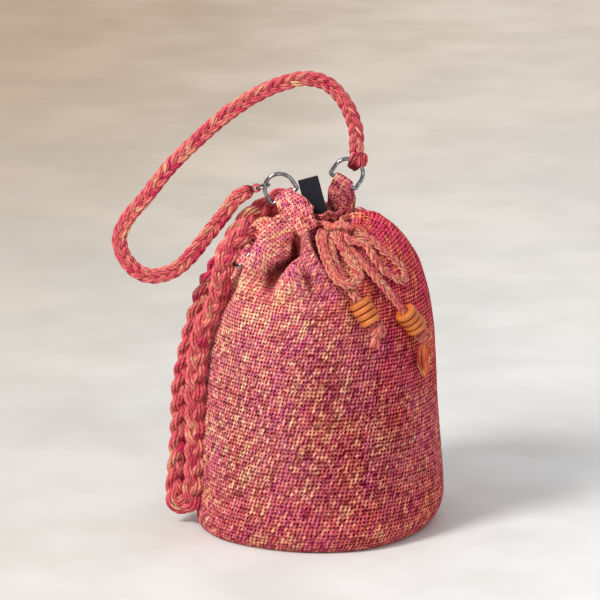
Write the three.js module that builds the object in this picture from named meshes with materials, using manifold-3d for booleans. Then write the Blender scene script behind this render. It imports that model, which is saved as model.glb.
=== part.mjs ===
// A crocheted potli bag in millimetres: +X is its right side seen from the front, -Y its front, +Z up.
// The origin is the middle of the round base, on the surface that the bag stands on.
import * as THREE from "three";
import { mergeVertices } from "three/addons/utils/BufferGeometryUtils.js";
import Module from "manifold-3d";

const wasm = await Module();
wasm.setup();

// Driving sizes of the bag's body, from the floor to the gathered rim; the gathered top hangs from the rim
const FOOT = { radius: 118, height: 0 };
const BELLY = { radius: 120.5, height: 38 };
const FLANK = { radius: 113.5, height: 125 };
const SHOULDER = { radius: 106, height: 205 };
const RIM = { radius: 28, height: 314 };
const NECK = { radius: 26, height: RIM.height - 10 };
const TOP = { radius: 57, height: RIM.height - 25, sideLift: 15, backLift: 16 };
const CROWN = { radius: 89, height: RIM.height - 57, sideLift: 9, backLift: 9 };
const NECK_SHIFT = { x: -5, y: -4 }; // the gathered neck stands a little to the left and to the front
const CORNER = { inset: 10, insetRight: 5, rise: 20, riseRight: 12 }; // rounding above the base's seam
const GAP = 0.3; // between pieces that lie against each other
const CROCHET_THICKNESS = 3;
const LINING_THICKNESS = 1.2;
const BASE_PANEL_THICKNESS = 4;
const BASE_BOARD_THICKNESS = 2.5;
const LINING_HEM = 3.55; // where the lining ends, as a station between the shoulder and the crown

// Driving sizes of the rings, tabs, handle and strap
const WIRE_RADIUS = 2;
const RING_HALF_WIDTH = 14.5; // from the middle to the wire's centre line
const RING_LEG = 9.5; // the straight leg before the round end
const RING_TILT = 33; // degrees that each carrying ring's bar slopes in the front view
const BAR_LEFT = { x: -35.9, y: -13, overRim: 15.4 };
const BAR_RIGHT = { x: 19.9, y: -13, overRim: 30.4 };
const TAB_WIDTH = 20.4;
const TAB_FLARE = 1.22; // how much wider a tab is at its foot
const TAB_SKIN = 3; // one layer of the folded tab
const TAB_FOOT_THICKNESS = 6.5;
const HANDLE_DIAMETER = 13;
const EYE = { major: 7.6, tube: 3.8 };
const JUMP_RING = { major: 6.4, wire: 1.2 };
const SWING_ROOM = 1.3; // between the jump ring and the ring's wire, so that the handle can swing
const YARN_LOOP = { major: 3.4, tube: 1.4 };
const STRAP_DIAMETER = 16;

// Driving sizes of the drawstring, its beads, knots and tassels
const STRING_WIDTH = 7.4;
const STRING_THICKNESS = 4.4;
const BEAD_RADIUS = 10.8;
const BEAD_BORE_RADIUS = 4.3;
const BEAD_THICKNESS = 5.5;
const BEAD_PITCH = 6.3;
const BEADS_IN_STACK = 4;
const BEAD_TRAVEL = 4; // how far a stack can be pushed up the straight stretch of its tail
const KNOT_RADIUS = 8;
const LABEL = { width: 20, length: 50, thickness: 1.6 };

// Colours and finishes
const FABRIC = { color: 0xc85560, roughness: 0.92, metalness: 0 };
const CORD = { color: 0xcf5058, roughness: 0.9, metalness: 0 };
const STRING = { color: 0xdc7f6c, roughness: 0.9, metalness: 0 };
const LINEN = { color: 0x8c2f3c, roughness: 0.95, metalness: 0 };
const STEEL = { color: 0xb9bdc2, roughness: 0.2, metalness: 1 };
const WOOD = { color: 0xd77d2d, roughness: 0.5, metalness: 0 };
const TAG = { color: 0x161a28, roughness: 0.8, metalness: 0 };
const BOARD = { color: 0x6b6258, roughness: 0.9, metalness: 0 };

const STATIONS = [FOOT, BELLY, FLANK, SHOULDER, CROWN, TOP, NECK, RIM];
const LAST = STATIONS.length - 1;
const DEGREE = Math.PI / 180;

// Folds that run out of the neck, each from one [degrees, station] to another; a negative one is a crease
const FOLDS = [
  { from: [-130, 5.6], to: [-146, 3.5], half: 12, high: 11 },
  { from: [-122, 5.7], to: [-82, 3.7], half: 10, high: 8 },
  { from: [-108, 4.8], to: [-112, 4.1], half: 11, high: 5 },
  { from: [-106, 5.3], to: [-128, 3.9], half: 6, high: -8 },
];
const PLEATS = { count: 9, high: 2.2, from: 4.2, full: 5.1 }; // the small even gathers all round
const CALM = { from: 5.3, full: 5.9 }; // folds and gathers run out here, under the drawstring

const smooth = (x) => {
  const c = Math.min(1, Math.max(0, x));
  return c * c * (3 - 2 * c);
};

// A size of the body between its stations, on a smooth curve through them
function sizeAt(station, key) {
  const i = Math.min(LAST - 1, Math.max(0, Math.floor(station)));
  const u = station - i;
  const value = (k) => STATIONS[k][key] ?? 0;
  const b = value(i);
  const c = value(i + 1);
  const a = i > 0 ? value(i - 1) : 2 * b - c;
  const d = i + 2 <= LAST ? value(i + 2) : 2 * c - b;
  return b + 0.5 * u * (c - a + u * (2 * a - 5 * b + 4 * c - d + u * (3 * b - a - 3 * c + d)));
}

function smoothBody(degrees, station) {
  const c = Math.cos(degrees * DEGREE);
  const s = Math.sin(degrees * DEGREE);
  const drift = smooth((station - 3) / 3);
  const lift = sizeAt(station, "sideLift") * c * c + sizeAt(station, "backLift") * Math.max(0, s) ** 2;
  const radius = sizeAt(station, "radius");
  return new THREE.Vector3(
    NECK_SHIFT.x * drift + radius * c,
    NECK_SHIFT.y * drift + radius * s,
    sizeAt(station, "height") + lift,
  );
}

function outwards(degrees, station) {
  const low = Math.max(0, station - 0.02);
  const high = Math.min(LAST, station + 0.02);
  const round = smoothBody(degrees + 0.5, station).sub(smoothBody(degrees - 0.5, station));
  return round.cross(smoothBody(degrees, high).sub(smoothBody(degrees, low))).normalize();
}

function foldHeight(degrees, station) {
  const gathered = smooth((station - PLEATS.from) / (PLEATS.full - PLEATS.from));
  let height = PLEATS.high * gathered * Math.cos(PLEATS.count * degrees * DEGREE);
  for (const { from, to, half, high } of FOLDS) {
    const down = (from[1] - station) / (from[1] - to[1]);
    const middle = from[0] + (to[0] - from[0]) * Math.min(1, Math.max(0, down));
    const turn = ((degrees - middle + 540) % 360) - 180;
    const away = (turn * DEGREE * sizeAt(station, "radius")) / half;
    height += high * Math.exp(-away * away) * smooth((down + 0.25) / 0.4) * smooth((1.3 - down) / 0.6);
  }
  return height * (1 - smooth((station - CALM.from) / (CALM.full - CALM.from)));
}

// How far the rounded corner above the base draws the wall in
function cornerInset(degrees, height) {
  const c = Math.cos(degrees * DEGREE);
  const inset = CORNER.inset + CORNER.insetRight * c;
  const rise = CORNER.rise + CORNER.riseRight * c;
  const up = Math.min(1, height / rise);
  return inset * (1 - Math.sqrt(1 - (1 - up) ** 2));
}

// The point that stands a given distance out from the crocheted skin
function on(degrees, station, stand = 0) {
  const point = smoothBody(degrees, station);
  const out = outwards(degrees, station);
  const inset = cornerInset(degrees, point.z);
  point.addScaledVector(out, foldHeight(degrees, station) + stand);
  point.x -= inset * Math.cos(degrees * DEGREE);
  point.y -= inset * Math.sin(degrees * DEGREE);
  return point;
}

const at = (x, y, z) => new THREE.Vector3(x, y, z);
const overRim = (x, y, z) => at(x, y, RIM.height + z);

// A closed surface through rings of points; where ends are left open it closes on itself
function loft(rings, { startPole, endPole } = {}) {
  const round = rings[0].length;
  const positions = rings.flat().flatMap((p) => [p.x, p.y, p.z]);
  const faces = [];
  const joins = startPole ? rings.length - 1 : rings.length;
  for (let i = 0; i < joins; i++) {
    for (let j = 0; j < round; j++) {
      const next = (j + 1) % round;
      const a = i * round + j;
      const b = i * round + next;
      const c = ((i + 1) % rings.length) * round + next;
      const d = ((i + 1) % rings.length) * round + j;
      faces.push(a, b, c, a, c, d);
    }
  }
  if (startPole) {
    const start = positions.length / 3;
    positions.push(startPole.x, startPole.y, startPole.z, endPole.x, endPole.y, endPole.z);
    for (let j = 0; j < round; j++) {
      const next = (j + 1) % round;
      const top = (rings.length - 1) * round;
      faces.push(start, next, j, start + 1, top + j, top + next);
    }
  }
  const geometry = new THREE.BufferGeometry();
  geometry.setAttribute("position", new THREE.Float32BufferAttribute(positions, 3));
  geometry.setIndex(faces);
  return facingOut(geometry);
}

// Turns every face round if the surface was made inside out
function facingOut(geometry) {
  const p = geometry.getAttribute("position");
  const index = geometry.getIndex();
  const corner = (k) => new THREE.Vector3().fromBufferAttribute(p, index.getX(k));
  let volume = 0;
  for (let k = 0; k < index.count; k += 3) volume += corner(k).dot(corner(k + 1).cross(corner(k + 2)));
  if (volume < 0) {
    for (let k = 0; k < index.count; k += 3) {
      const first = index.getX(k);
      index.setX(k, index.getX(k + 1));
      index.setX(k + 1, first);
    }
  }
  geometry.computeVertexNormals();
  return geometry;
}

// A cord along hand-chosen points, flat ends, its thickness measured along upOf at each step
function cord(points, { width, thickness = width, sides = 8, step = 6, upOf }) {
  const curve = new THREE.CatmullRomCurve3(points, false, "centripetal");
  curve.arcLengthDivisions = 400;
  const steps = Math.max(4, Math.round(curve.getLength() / step));
  const rings = [];
  let up = new THREE.Vector3(0, 1, 0);
  for (let i = 0; i <= steps; i++) {
    const middle = curve.getPointAt(i / steps);
    const ahead = curve.getTangentAt(i / steps);
    if (upOf) up = upOf(middle, i / steps);
    const side = ahead.clone().cross(up).normalize();
    up = side.clone().cross(ahead).normalize();
    const ring = [];
    for (let j = 0; j < sides; j++) {
      const turn = (2 * Math.PI * (j + 0.5)) / sides;
      ring.push(middle.clone()
        .addScaledVector(side, (Math.cos(turn) * width) / 2)
        .addScaledVector(up, (Math.sin(turn) * thickness) / 2));
    }
    rings.push(ring);
  }
  return loft(rings, { startPole: curve.getPointAt(0), endPole: curve.getPointAt(1) });
}

// Points away from the bag's upright axis: the flat cords lie with this side up
const awayFromBag = (point) => at(point.x - NECK_SHIFT.x, point.y - NECK_SHIFT.y, 45).normalize();

function toSolid(geometry) {
  const bare = geometry.clone();
  bare.deleteAttribute("normal");
  bare.deleteAttribute("uv");
  const merged = mergeVertices(bare, 1e-4);
  return new wasm.Manifold(new wasm.Mesh({
    numProp: 3,
    vertProperties: new Float32Array(merged.getAttribute("position").array),
    triVerts: new Uint32Array(merged.getIndex().array),
  }));
}

function fromSolid(solid) {
  const mesh = solid.getMesh();
  const geometry = new THREE.BufferGeometry();
  geometry.setAttribute("position", new THREE.BufferAttribute(mesh.vertProperties.slice(), 3));
  geometry.setIndex(Array.from(mesh.triVerts));
  geometry.computeVertexNormals();
  return geometry;
}

const joined = (first, ...others) => fromSolid(others.reduce((all, g) => all.add(toSolid(g)), toSolid(first)));

// A frame whose X, Y and Z axes are given, placed at a point
function frame(origin, x, y, z) {
  return new THREE.Matrix4().makeBasis(x, y, z).setPosition(origin);
}

// A round ring of wire or yarn about a middle, lying square to its axis
function roundRing(middle, axis, major, tube, around = 20, sides = 8) {
  const geometry = new THREE.TorusGeometry(major, tube, sides, around);
  geometry.applyQuaternion(new THREE.Quaternion().setFromUnitVectors(at(0, 0, 1), axis.clone().normalize()));
  return geometry.translate(middle.x, middle.y, middle.z);
}

const bag = new THREE.Group();
function add(name, geometry, finish) {
  const mesh = new THREE.Mesh(geometry, new THREE.MeshStandardMaterial(finish));
  mesh.name = name;
  bag.add(mesh);
}

// The crocheted body, its base, the stiff board and the lining
const ROUND = 54;
const OUTER_STATIONS = [0, 0.03, 0.09, 0.2, 0.36, 0.6, 1, 1.6, 2.2, 2.75, 3.2, 3.55, 3.85, 4.1, 4.35, 4.6,
  4.85, 5.1, 5.4, 5.75, 6.1, 6.5, LAST];
const INNER_STATIONS = [0, 0.09, 0.2, 0.36, 0.6, 1.3, 2.2, 3.2, 3.55, 3.85, 4.1, 4.35, 4.6, 4.85, 5.4,
  6.1, LAST];
const ringAt = (station, stand) =>
  Array.from({ length: ROUND }, (_, j) => on((j * 360) / ROUND, station, stand));
const level = (ring, height) => ring.map((p) => at(p.x, p.y, height));

function wallRings(stations, stand) {
  const rings = stations.map((s) => ringAt(s, stand));
  return [level(rings[0], 0), ...rings.slice(1, -1), level(rings.at(-1), RIM.height)];
}
const wallOut = wallRings(OUTER_STATIONS, 0);
const wallIn = wallRings(INNER_STATIONS, -CROCHET_THICKNESS);
add("bag_wall", loft([...wallOut, ...wallIn.reverse()]), FABRIC);

const STACK = [BASE_PANEL_THICKNESS, BASE_PANEL_THICKNESS + GAP + BASE_BOARD_THICKNESS];
function disc(low, high, stand) {
  const outline = ringAt(0, stand);
  const shape = new THREE.Shape(outline.map((p) => new THREE.Vector2(p.x, p.y)));
  return new THREE.ExtrudeGeometry(shape, { depth: high - low, bevelEnabled: false }).translate(0, 0, low);
}
add("base_panel", disc(0, STACK[0], -CROCHET_THICKNESS - GAP), FABRIC);
add("base_board", disc(STACK[0] + GAP, STACK[1], -CROCHET_THICKNESS - 3), BOARD);

const LINING_FLOOR = STACK[1] + GAP;
const LINING_STATIONS = INNER_STATIONS.filter((s) => s >= 0.36 && s <= LINING_HEM);
const LINING_GAP = 2 * GAP;
const liningOut = LINING_STATIONS.map((s) => ringAt(s, -CROCHET_THICKNESS - LINING_GAP));
const liningIn = LINING_STATIONS.map((s) => ringAt(s, -CROCHET_THICKNESS - LINING_GAP - LINING_THICKNESS));
const liningFoot = level(ringAt(0.2, -CROCHET_THICKNESS - 2 - GAP), LINING_FLOOR);
const liningFootIn = level(ringAt(0.2, -CROCHET_THICKNESS - 4 - GAP), LINING_FLOOR + LINING_THICKNESS);
add("lining", loft([liningFootIn, ...liningIn, ...liningOut.reverse(), liningFoot], {
  startPole: at(0, 0, LINING_FLOOR + LINING_THICKNESS),
  endPole: at(0, 0, LINING_FLOOR),
}), LINEN);

// A ring's own frame: u along its straight bar, m from the bar to the round end, n across the ring
function ringFrame(bar, u, m) {
  const along = u.clone().normalize();
  const up = m.clone().addScaledVector(along, -m.dot(along)).normalize();
  return { bar, u: along, m: up, n: along.clone().cross(up) };
}
function inRing({ bar, u, m, n }, alongBar, up, across = 0) {
  return bar.clone().addScaledVector(u, alongBar).addScaledVector(m, up).addScaledVector(n, across);
}
const leftSlope = RING_TILT * DEGREE;
const ringLeft = ringFrame(overRim(BAR_LEFT.x, BAR_LEFT.y, BAR_LEFT.overRim),
  at(Math.cos(leftSlope), 0, Math.sin(leftSlope)), at(-Math.sin(leftSlope), 0, Math.cos(leftSlope)));
const ringRight = ringFrame(overRim(BAR_RIGHT.x, BAR_RIGHT.y, BAR_RIGHT.overRim),
  at(Math.cos(leftSlope), 0, -Math.sin(leftSlope)), at(Math.sin(leftSlope), 0, Math.cos(leftSlope)));

// The side ring lies flat on the skin under the strap, its bar running down the bag
const SIDE_RING = { degrees: -137, station: 4.28, stand: 8.4 };
const sideBar = on(SIDE_RING.degrees, SIDE_RING.station, SIDE_RING.stand);
const sideDown = on(SIDE_RING.degrees - 2, SIDE_RING.station - 0.2, SIDE_RING.stand)
  .sub(on(SIDE_RING.degrees + 2, SIDE_RING.station + 0.2, SIDE_RING.stand));
const sideOut = on(SIDE_RING.degrees - 14, SIDE_RING.station, SIDE_RING.stand + 1).sub(sideBar);
const ringSide = ringFrame(sideBar, sideDown, sideOut);

const BEND = 2; // how far the D's bottom corners are rounded
function dRing(place) {
  const points = [];
  const half = RING_HALF_WIDTH;
  for (let i = 0; i <= 4; i++) points.push([-half + BEND + ((half - BEND) * 2 * i) / 4, 0]);
  points.push([half - BEND * 0.29, BEND * 0.29]);
  points.push([half, BEND]);
  for (let i = 0; i <= 12; i++) {
    const turn = (Math.PI * i) / 12;
    points.push([half * Math.cos(turn), RING_LEG + half * Math.sin(turn)]);
  }
  points.push([-half, BEND]);
  points.push([-half + BEND * 0.29, BEND * 0.29]);
  const middles = points.map(([a, b]) => inRing(place, a, b));
  const rings = middles.map((middle, i) => {
    const before = middles[(i + middles.length - 1) % middles.length];
    const after = middles[(i + 1) % middles.length];
    const ahead = after.clone().sub(before).normalize();
    const side = ahead.clone().cross(place.n).normalize();
    return Array.from({ length: 10 }, (_, j) => {
      const turn = (2 * Math.PI * j) / 10;
      return middle.clone()
        .addScaledVector(side, Math.cos(turn) * WIRE_RADIUS)
        .addScaledVector(place.n, Math.sin(turn) * WIRE_RADIUS);
    });
  });
  return loft(rings);
}
add("d_ring_left", dRing(ringLeft), STEEL);
add("d_ring_right", dRing(ringRight), STEEL);
add("d_ring_side", dRing(ringSide), STEEL);

// A folded tab: a band that goes round the ring's bar and comes down to a foot
function tab(place, foot, { width = TAB_WIDTH, flare = TAB_FLARE, level: cut } = {}) {
  const hole = WIRE_RADIUS + GAP;
  const outer = hole + TAB_SKIN; // above this distance from the bar the band is straight
  const reach = foot.clone().sub(place.bar);
  const drift = reach.dot(place.u); // how far the foot stands along the bar from the tab's middle
  const down = reach.addScaledVector(place.u, -drift);
  const length = down.length();
  const shape = new THREE.Shape();
  shape.absarc(0, 0, outer, 0, Math.PI, false);
  shape.lineTo(-outer * 0.95, -outer);
  shape.lineTo(-TAB_FOOT_THICKNESS / 2, -length);
  shape.lineTo(TAB_FOOT_THICKNESS / 2, -length);
  shape.lineTo(outer * 0.95, -outer);
  shape.closePath();
  shape.holes.push(new THREE.Path().absarc(0, 0, hole, 0, 2 * Math.PI, true));
  const band = new THREE.ExtrudeGeometry(shape, { depth: width, bevelEnabled: false, curveSegments: 10 });
  band.translate(0, 0, -width / 2);
  // Shape X goes across the tab, shape Y up it and the depth along the bar
  const up = down.clone().negate().normalize();
  const across = up.clone().cross(place.u).normalize();
  band.applyMatrix4(frame(at(0, 0, 0), across, up, place.u));
  const p = band.getAttribute("position");
  for (let i = 0; i < p.count; i++) {
    const point = at(p.getX(i), p.getY(i), p.getZ(i));
    const share = Math.max(0, -point.dot(up) - outer) / (length - outer);
    point.addScaledVector(place.u, point.dot(place.u) * (flare - 1) * share + drift * share);
    point.add(place.bar);
    if (cut !== undefined && share > 0.9) point.addScaledVector(up, (cut - point.z) / up.z);
    p.setXYZ(i, point.x, point.y, point.z);
  }
  return band;
}
const rimTop = RIM.height + GAP;
const rimSpot = (degrees) => {
  const middle = RIM.radius - CROCHET_THICKNESS / 2;
  return at(NECK_SHIFT.x + middle * Math.cos(degrees * DEGREE),
    NECK_SHIFT.y + middle * Math.sin(degrees * DEGREE), rimTop);
};
const TAB_LEFT_DEGREES = -125; // where the tabs' feet stand on the rim
const TAB_RIGHT_DEGREES = 15;
add("ring_tab_left", tab(ringLeft, rimSpot(TAB_LEFT_DEGREES), { level: rimTop }), FABRIC);
add("ring_tab_right", tab(ringRight, rimSpot(TAB_RIGHT_DEGREES), { level: rimTop }), FABRIC);

// The handle: a firm braided cord with an eye on the right ring and a yarn loop at the left one
const HANDLE_TURN = 137; // degrees round the left ring where the jump ring hangs
const grip = inRing(ringLeft, RING_HALF_WIDTH * Math.cos(HANDLE_TURN * DEGREE),
  RING_LEG + RING_HALF_WIDTH * Math.sin(HANDLE_TURN * DEGREE));
const pull = at(-0.968, 0, -0.25).normalize(); // from the left ring towards the handle
const wireRun = inRing(ringLeft, -Math.sin(HANDLE_TURN * DEGREE), Math.cos(HANDLE_TURN * DEGREE))
  .sub(ringLeft.bar);
const linkAxis = wireRun.addScaledVector(pull, -wireRun.dot(pull)).normalize();
const linkInside = JUMP_RING.major - JUMP_RING.wire;
const linkMiddle = grip.clone().addScaledVector(pull, linkInside - WIRE_RADIUS - SWING_ROOM);
const loopInner = linkInside - YARN_LOOP.tube - 0.5;
const loopMiddle = linkMiddle.clone().addScaledVector(pull, loopInner + YARN_LOOP.major);
const handleStart = loopMiddle.clone().addScaledVector(pull, YARN_LOOP.major);
add("handle_jump_ring", roundRing(linkMiddle, linkAxis, JUMP_RING.major, JUMP_RING.wire), STEEL);

const eyeMiddle = inRing(ringRight, 0, RING_LEG + RING_HALF_WIDTH);
const HANDLE_ROUTE = [
  handleStart,
  overRim(-75, -14, 19), overRim(-84, -16, 13), overRim(-96, -19, -3), overRim(-111.5, -23, -21),
  overRim(-125, -27, -38), overRim(-141, -31, -52.5), overRim(-160, -33, -59), overRim(-177, -34, -55.5),
  overRim(-191, -34, -41), overRim(-196, -33, -23.5), overRim(-189, -31, -4), overRim(-170, -29, 18.5),
  overRim(-146, -26, 48.5), overRim(-118, -23, 76), overRim(-94, -21, 97), overRim(-68, -19, 114.5),
  overRim(-42, -17, 126.5), overRim(-16, -15, 132.5), overRim(6.5, -14, 126), overRim(23.5, -13.5, 106),
  overRim(32.3, -13, 82.5), overRim(33.2, -13, 66),
  eyeMiddle.clone().add(at(0, 0, EYE.major)),
];
add("handle_cord", joined(
  cord(HANDLE_ROUTE, { width: HANDLE_DIAMETER, sides: 8, step: 12 }),
  roundRing(eyeMiddle, ringRight.u, EYE.major, EYE.tube, 18, 8),
  roundRing(loopMiddle, pull.clone().cross(linkAxis), YARN_LOOP.major, YARN_LOOP.tube, 14, 6),
), CORD);

// The side ring's tab and the plaited strap that hangs from the rim and the side ring
const sideFoot = on(SIDE_RING.degrees + 9, SIDE_RING.station - 0.08, SIDE_RING.stand);
const SIDE_TAB_WIDTH = 9;
const sideTabPlace = { ...ringSide, bar: inRing(ringSide, 6, 0) };
add("ring_tab_side", tab(sideTabPlace, sideFoot, { width: SIDE_TAB_WIDTH, flare: 1 }), FABRIC);

const STRAP_ROUTE = [
  overRim(-27, 4, 10), overRim(-40, 5, 9), on(-187, 5.22, 10), on(-173, 4.86, 10), on(-168, 4.5, 10),
  on(-166, 4.16, 10.5), on(-167, 3.8, 11.5), at(-113, -13, 240), at(-124, -12, 205), at(-133, -12, 175),
  at(-139, -12, 145),
  at(-141.5, -12, 115), at(-142, -13, 90), at(-144, -14, 65), at(-146, -16, 43), at(-146, -20, 28),
  at(-139, -25, 20), at(-130, -29, 24), at(-126.5, -31, 38), at(-124.5, -31, 60), at(-124, -31, 85),
  at(-124, -32, 115), at(-123.5, -33, 145), at(-121, -35, 175), at(-116, -39, 203), on(-158, 3.35, 9.5),
  overRim(-97.5, -54, -58), overRim(-94, -60, -39), overRim(-86.5, -60.8, -21.5),
  overRim(-75.6, -55.6, -10.6), overRim(-67.3, -51.6, -3.6),
];
const SIDE_EYE = { turn: 160, major: 4, tube: 1.5 }; // the yarn loop under the strap's end
const sideWire = inRing(ringSide, RING_HALF_WIDTH * Math.cos(SIDE_EYE.turn * DEGREE),
  RING_LEG + RING_HALF_WIDTH * Math.sin(SIDE_EYE.turn * DEGREE));
const sideRun = inRing(ringSide, -Math.sin(SIDE_EYE.turn * DEGREE), Math.cos(SIDE_EYE.turn * DEGREE))
  .sub(sideBar);
add("sling_strap", joined(
  cord(STRAP_ROUTE, { width: STRAP_DIAMETER, sides: 8, step: 16 }),
  roundRing(sideWire, sideRun, SIDE_EYE.major, SIDE_EYE.tube, 14, 6),
), CORD);

// The label: a folded tape that is sewn inside the front of the rim and stands up between the tabs
const LABEL_LEAN = { foot: overRim(-1, -16.5, -15), head: overRim(-13.6, -11.6, 32.4) };
function labelTag() {
  const up = LABEL_LEAN.head.clone().sub(LABEL_LEAN.foot).normalize();
  const side = at(1, 0, 0).addScaledVector(up, -up.x).normalize();
  const tag = new THREE.BoxGeometry(LABEL.width, LABEL.length, LABEL.thickness);
  const middle = LABEL_LEAN.foot.clone().addScaledVector(up, LABEL.length / 2);
  return tag.applyMatrix4(frame(middle, side, up, side.clone().cross(up)));
}
add("label", labelTag(), TAG);

// The drawstring: its run round the neck, the bow, the two tails, their knots and tassels
const NECK_RUN = { radius: 29.6, height: RIM.height - 5.6, from: -112, to: -400, step: 24 };
const neckRoute = [overRim(7.5, -35.9, -6.4)];
for (let degrees = NECK_RUN.from; degrees >= NECK_RUN.to; degrees -= NECK_RUN.step) {
  neckRoute.push(at(NECK_SHIFT.x + NECK_RUN.radius * Math.cos(degrees * DEGREE),
    NECK_SHIFT.y + NECK_RUN.radius * Math.sin(degrees * DEGREE), NECK_RUN.height));
}
neckRoute.push(overRim(21.5, -36.2, -6.4));
add("drawstring_neck", cord(neckRoute, { width: STRING_THICKNESS, step: 8, upOf: () => at(0, 0, 1) }), STRING);

const BOW_KNOT = { middle: overRim(14.5, -44.6, -7), wide: 15, deep: 7.6, tall: 5.5 };
const knot = new THREE.SphereGeometry(1, 14, 8).scale(BOW_KNOT.wide, BOW_KNOT.deep, BOW_KNOT.tall);
add("bow_knot", knot.translate(...BOW_KNOT.middle.toArray()), STRING);

const STRING_CUT = { width: STRING_WIDTH, thickness: STRING_THICKNESS, step: 8, upOf: awayFromBag };
const routeOn = (list) => list.map(([degrees, station, stand]) => on(degrees, station, stand));
const LOOP_LEFT = [[-87.5, 5.08, 11], [-85.6, 4.59, 10.2], [-83.5, 4.3, 12], [-80.5, 4.07, 15.5],
  [-75.9, 3.98, 17.5], [-70.2, 4.01, 15.5], [-66.9, 4.13, 12.5], [-67.1, 4.31, 10.5], [-69.6, 4.69, 8.5]];
const LOOP_RIGHT = [[-62, 5.0, 9.5], [-54.1, 4.82, 9], [-50.7, 4.7, 8], [-49.8, 4.45, 6], [-47.9, 4.19, 4.5],
  [-42.1, 3.98, 4], [-36.1, 3.85, 4], [-31.2, 3.88, 4], [-30.3, 4, 4], [-33.3, 4.2, 3.8], [-38.6, 4.48, 3.5],
  [-41.5, 4.75, 3.3], [-44.9, 4.99, 3.3]];
const TAIL_LEFT = [[-78.6, 5.05, 4.9], [-79.6, 4.8, 4.5], [-79.6, 4.5, 4.6]];
const TAIL_RIGHT = [[-64.6, 5.05, 3.6], [-62.9, 4.75, 4.2], [-60.2, 4.4, 5.6], [-57.2, 4.13, 8.4]];
// Where each strand meets the knot: the loops at its front, the tails underneath
const AT_KNOT = {
  loopLeft: [overRim(1.5, -51.1, -8.6), overRim(10.5, -54, -9)],
  loopRight: [overRim(18.7, -53.9, -9), overRim(31.3, -46.9, -9.4)],
  tailLeft: overRim(7.6, -48.3, -14.1),
  tailRight: overRim(15.5, -47.8, -14.8),
};
const loop = ([start, end], list) => cord([start, ...routeOn(list), end], STRING_CUT);
add("bow_loop_left", loop(AT_KNOT.loopLeft, LOOP_LEFT), STRING);
add("bow_loop_right", loop(AT_KNOT.loopRight, LOOP_RIGHT), STRING);

// Each stack of beads slides on a straight stretch of its tail, which ends in a knot and a tassel
const STACKS = {
  left: {
    start: AT_KNOT.tailLeft, lead: TAIL_LEFT, from: [-74.2, 3.94, 12.6], to: [-65.4, 3.31, 12.6],
    tassel: at(-2, -2, -9), spread: 5,
  },
  right: {
    start: AT_KNOT.tailRight, lead: TAIL_RIGHT, from: [-50.5, 3.64, 12], to: [-38, 3.08, 12],
    tassel: at(2, 5, -36), spread: 6,
  },
};
for (const [side, { start, from, to, lead, tassel, spread }] of Object.entries(STACKS)) {
  const stackFoot = on(...to);
  const run = on(...to).sub(on(...from)).normalize();
  const above = (distance) => stackFoot.clone().addScaledVector(run, -distance);
  const straight = BEAD_PITCH * (BEADS_IN_STACK - 1) + BEAD_THICKNESS + BEAD_TRAVEL;
  const free = [straight + 2, straight - 1, straight / 2, -1].map(above);
  const route = [start, ...routeOn(lead), ...free];
  add(`drawstring_tail_${side}`, cord(route, { ...STRING_CUT, step: 6 }), STRING);
  for (let i = 0; i < BEADS_IN_STACK; i++) {
    const up = BEAD_THICKNESS / 2 + BEAD_PITCH * (BEADS_IN_STACK - 1 - i);
    add(`bead_${side}_${i + 1}`, bead(above(up), run), WOOD);
  }
  const knotCentre = above(-1 - GAP - KNOT_RADIUS);
  const round = new THREE.SphereGeometry(KNOT_RADIUS, 12, 8);
  add(`tail_knot_${side}`, round.translate(knotCentre.x, knotCentre.y, knotCentre.z), STRING);
  add(`tassel_${side}`, tuft(knotCentre, tassel, spread), STRING);
}

function bead(middle, axis) {
  const half = BEAD_THICKNESS / 2;
  const round = 1.4; // how far the bead's rim is rounded
  const profile = [
    [BEAD_BORE_RADIUS, -half], [BEAD_RADIUS - round, -half], [BEAD_RADIUS, -half + round],
    [BEAD_RADIUS, half - round], [BEAD_RADIUS - round, half], [BEAD_BORE_RADIUS, half],
    [BEAD_BORE_RADIUS, -half],
  ].map(([x, y]) => new THREE.Vector2(x, y));
  const turned = new THREE.LatheGeometry(profile, 16);
  turned.applyQuaternion(new THREE.Quaternion().setFromUnitVectors(at(0, 1, 0), axis));
  return turned.translate(middle.x, middle.y, middle.z);
}

// A tuft of yarn that hangs from under its knot
function tuft(knotCentre, hang, spread) {
  const way = hang.clone().normalize();
  const start = knotCentre.clone().addScaledVector(way, KNOT_RADIUS + GAP);
  const end = start.clone().add(hang);
  const geometry = new THREE.CylinderGeometry(spread * 0.6, spread, hang.length(), 10, 2);
  geometry.applyQuaternion(new THREE.Quaternion().setFromUnitVectors(at(0, -1, 0), way));
  const middle = start.lerp(end, 0.5);
  return geometry.translate(middle.x, middle.y, middle.z);
}

export default bag;
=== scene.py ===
import math
import bpy
import numpy as np
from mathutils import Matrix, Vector


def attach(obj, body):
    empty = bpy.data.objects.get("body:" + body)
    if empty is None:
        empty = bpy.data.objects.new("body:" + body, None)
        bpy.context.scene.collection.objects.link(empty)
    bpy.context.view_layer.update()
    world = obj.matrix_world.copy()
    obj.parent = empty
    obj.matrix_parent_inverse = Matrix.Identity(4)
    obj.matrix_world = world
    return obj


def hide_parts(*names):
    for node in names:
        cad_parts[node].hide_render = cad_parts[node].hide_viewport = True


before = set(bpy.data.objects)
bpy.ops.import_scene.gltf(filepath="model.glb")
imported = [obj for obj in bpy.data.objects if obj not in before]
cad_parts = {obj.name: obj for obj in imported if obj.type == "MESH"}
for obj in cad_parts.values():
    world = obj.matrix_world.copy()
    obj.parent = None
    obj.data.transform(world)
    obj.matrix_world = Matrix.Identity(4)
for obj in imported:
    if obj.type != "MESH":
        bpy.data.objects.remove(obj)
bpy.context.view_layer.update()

# Sizes are in millimetres until a mesh is made; +X is the bag's right, -Y its front, +Z up
MM = 0.001
FULL_TURN = 2 * math.pi
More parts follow.
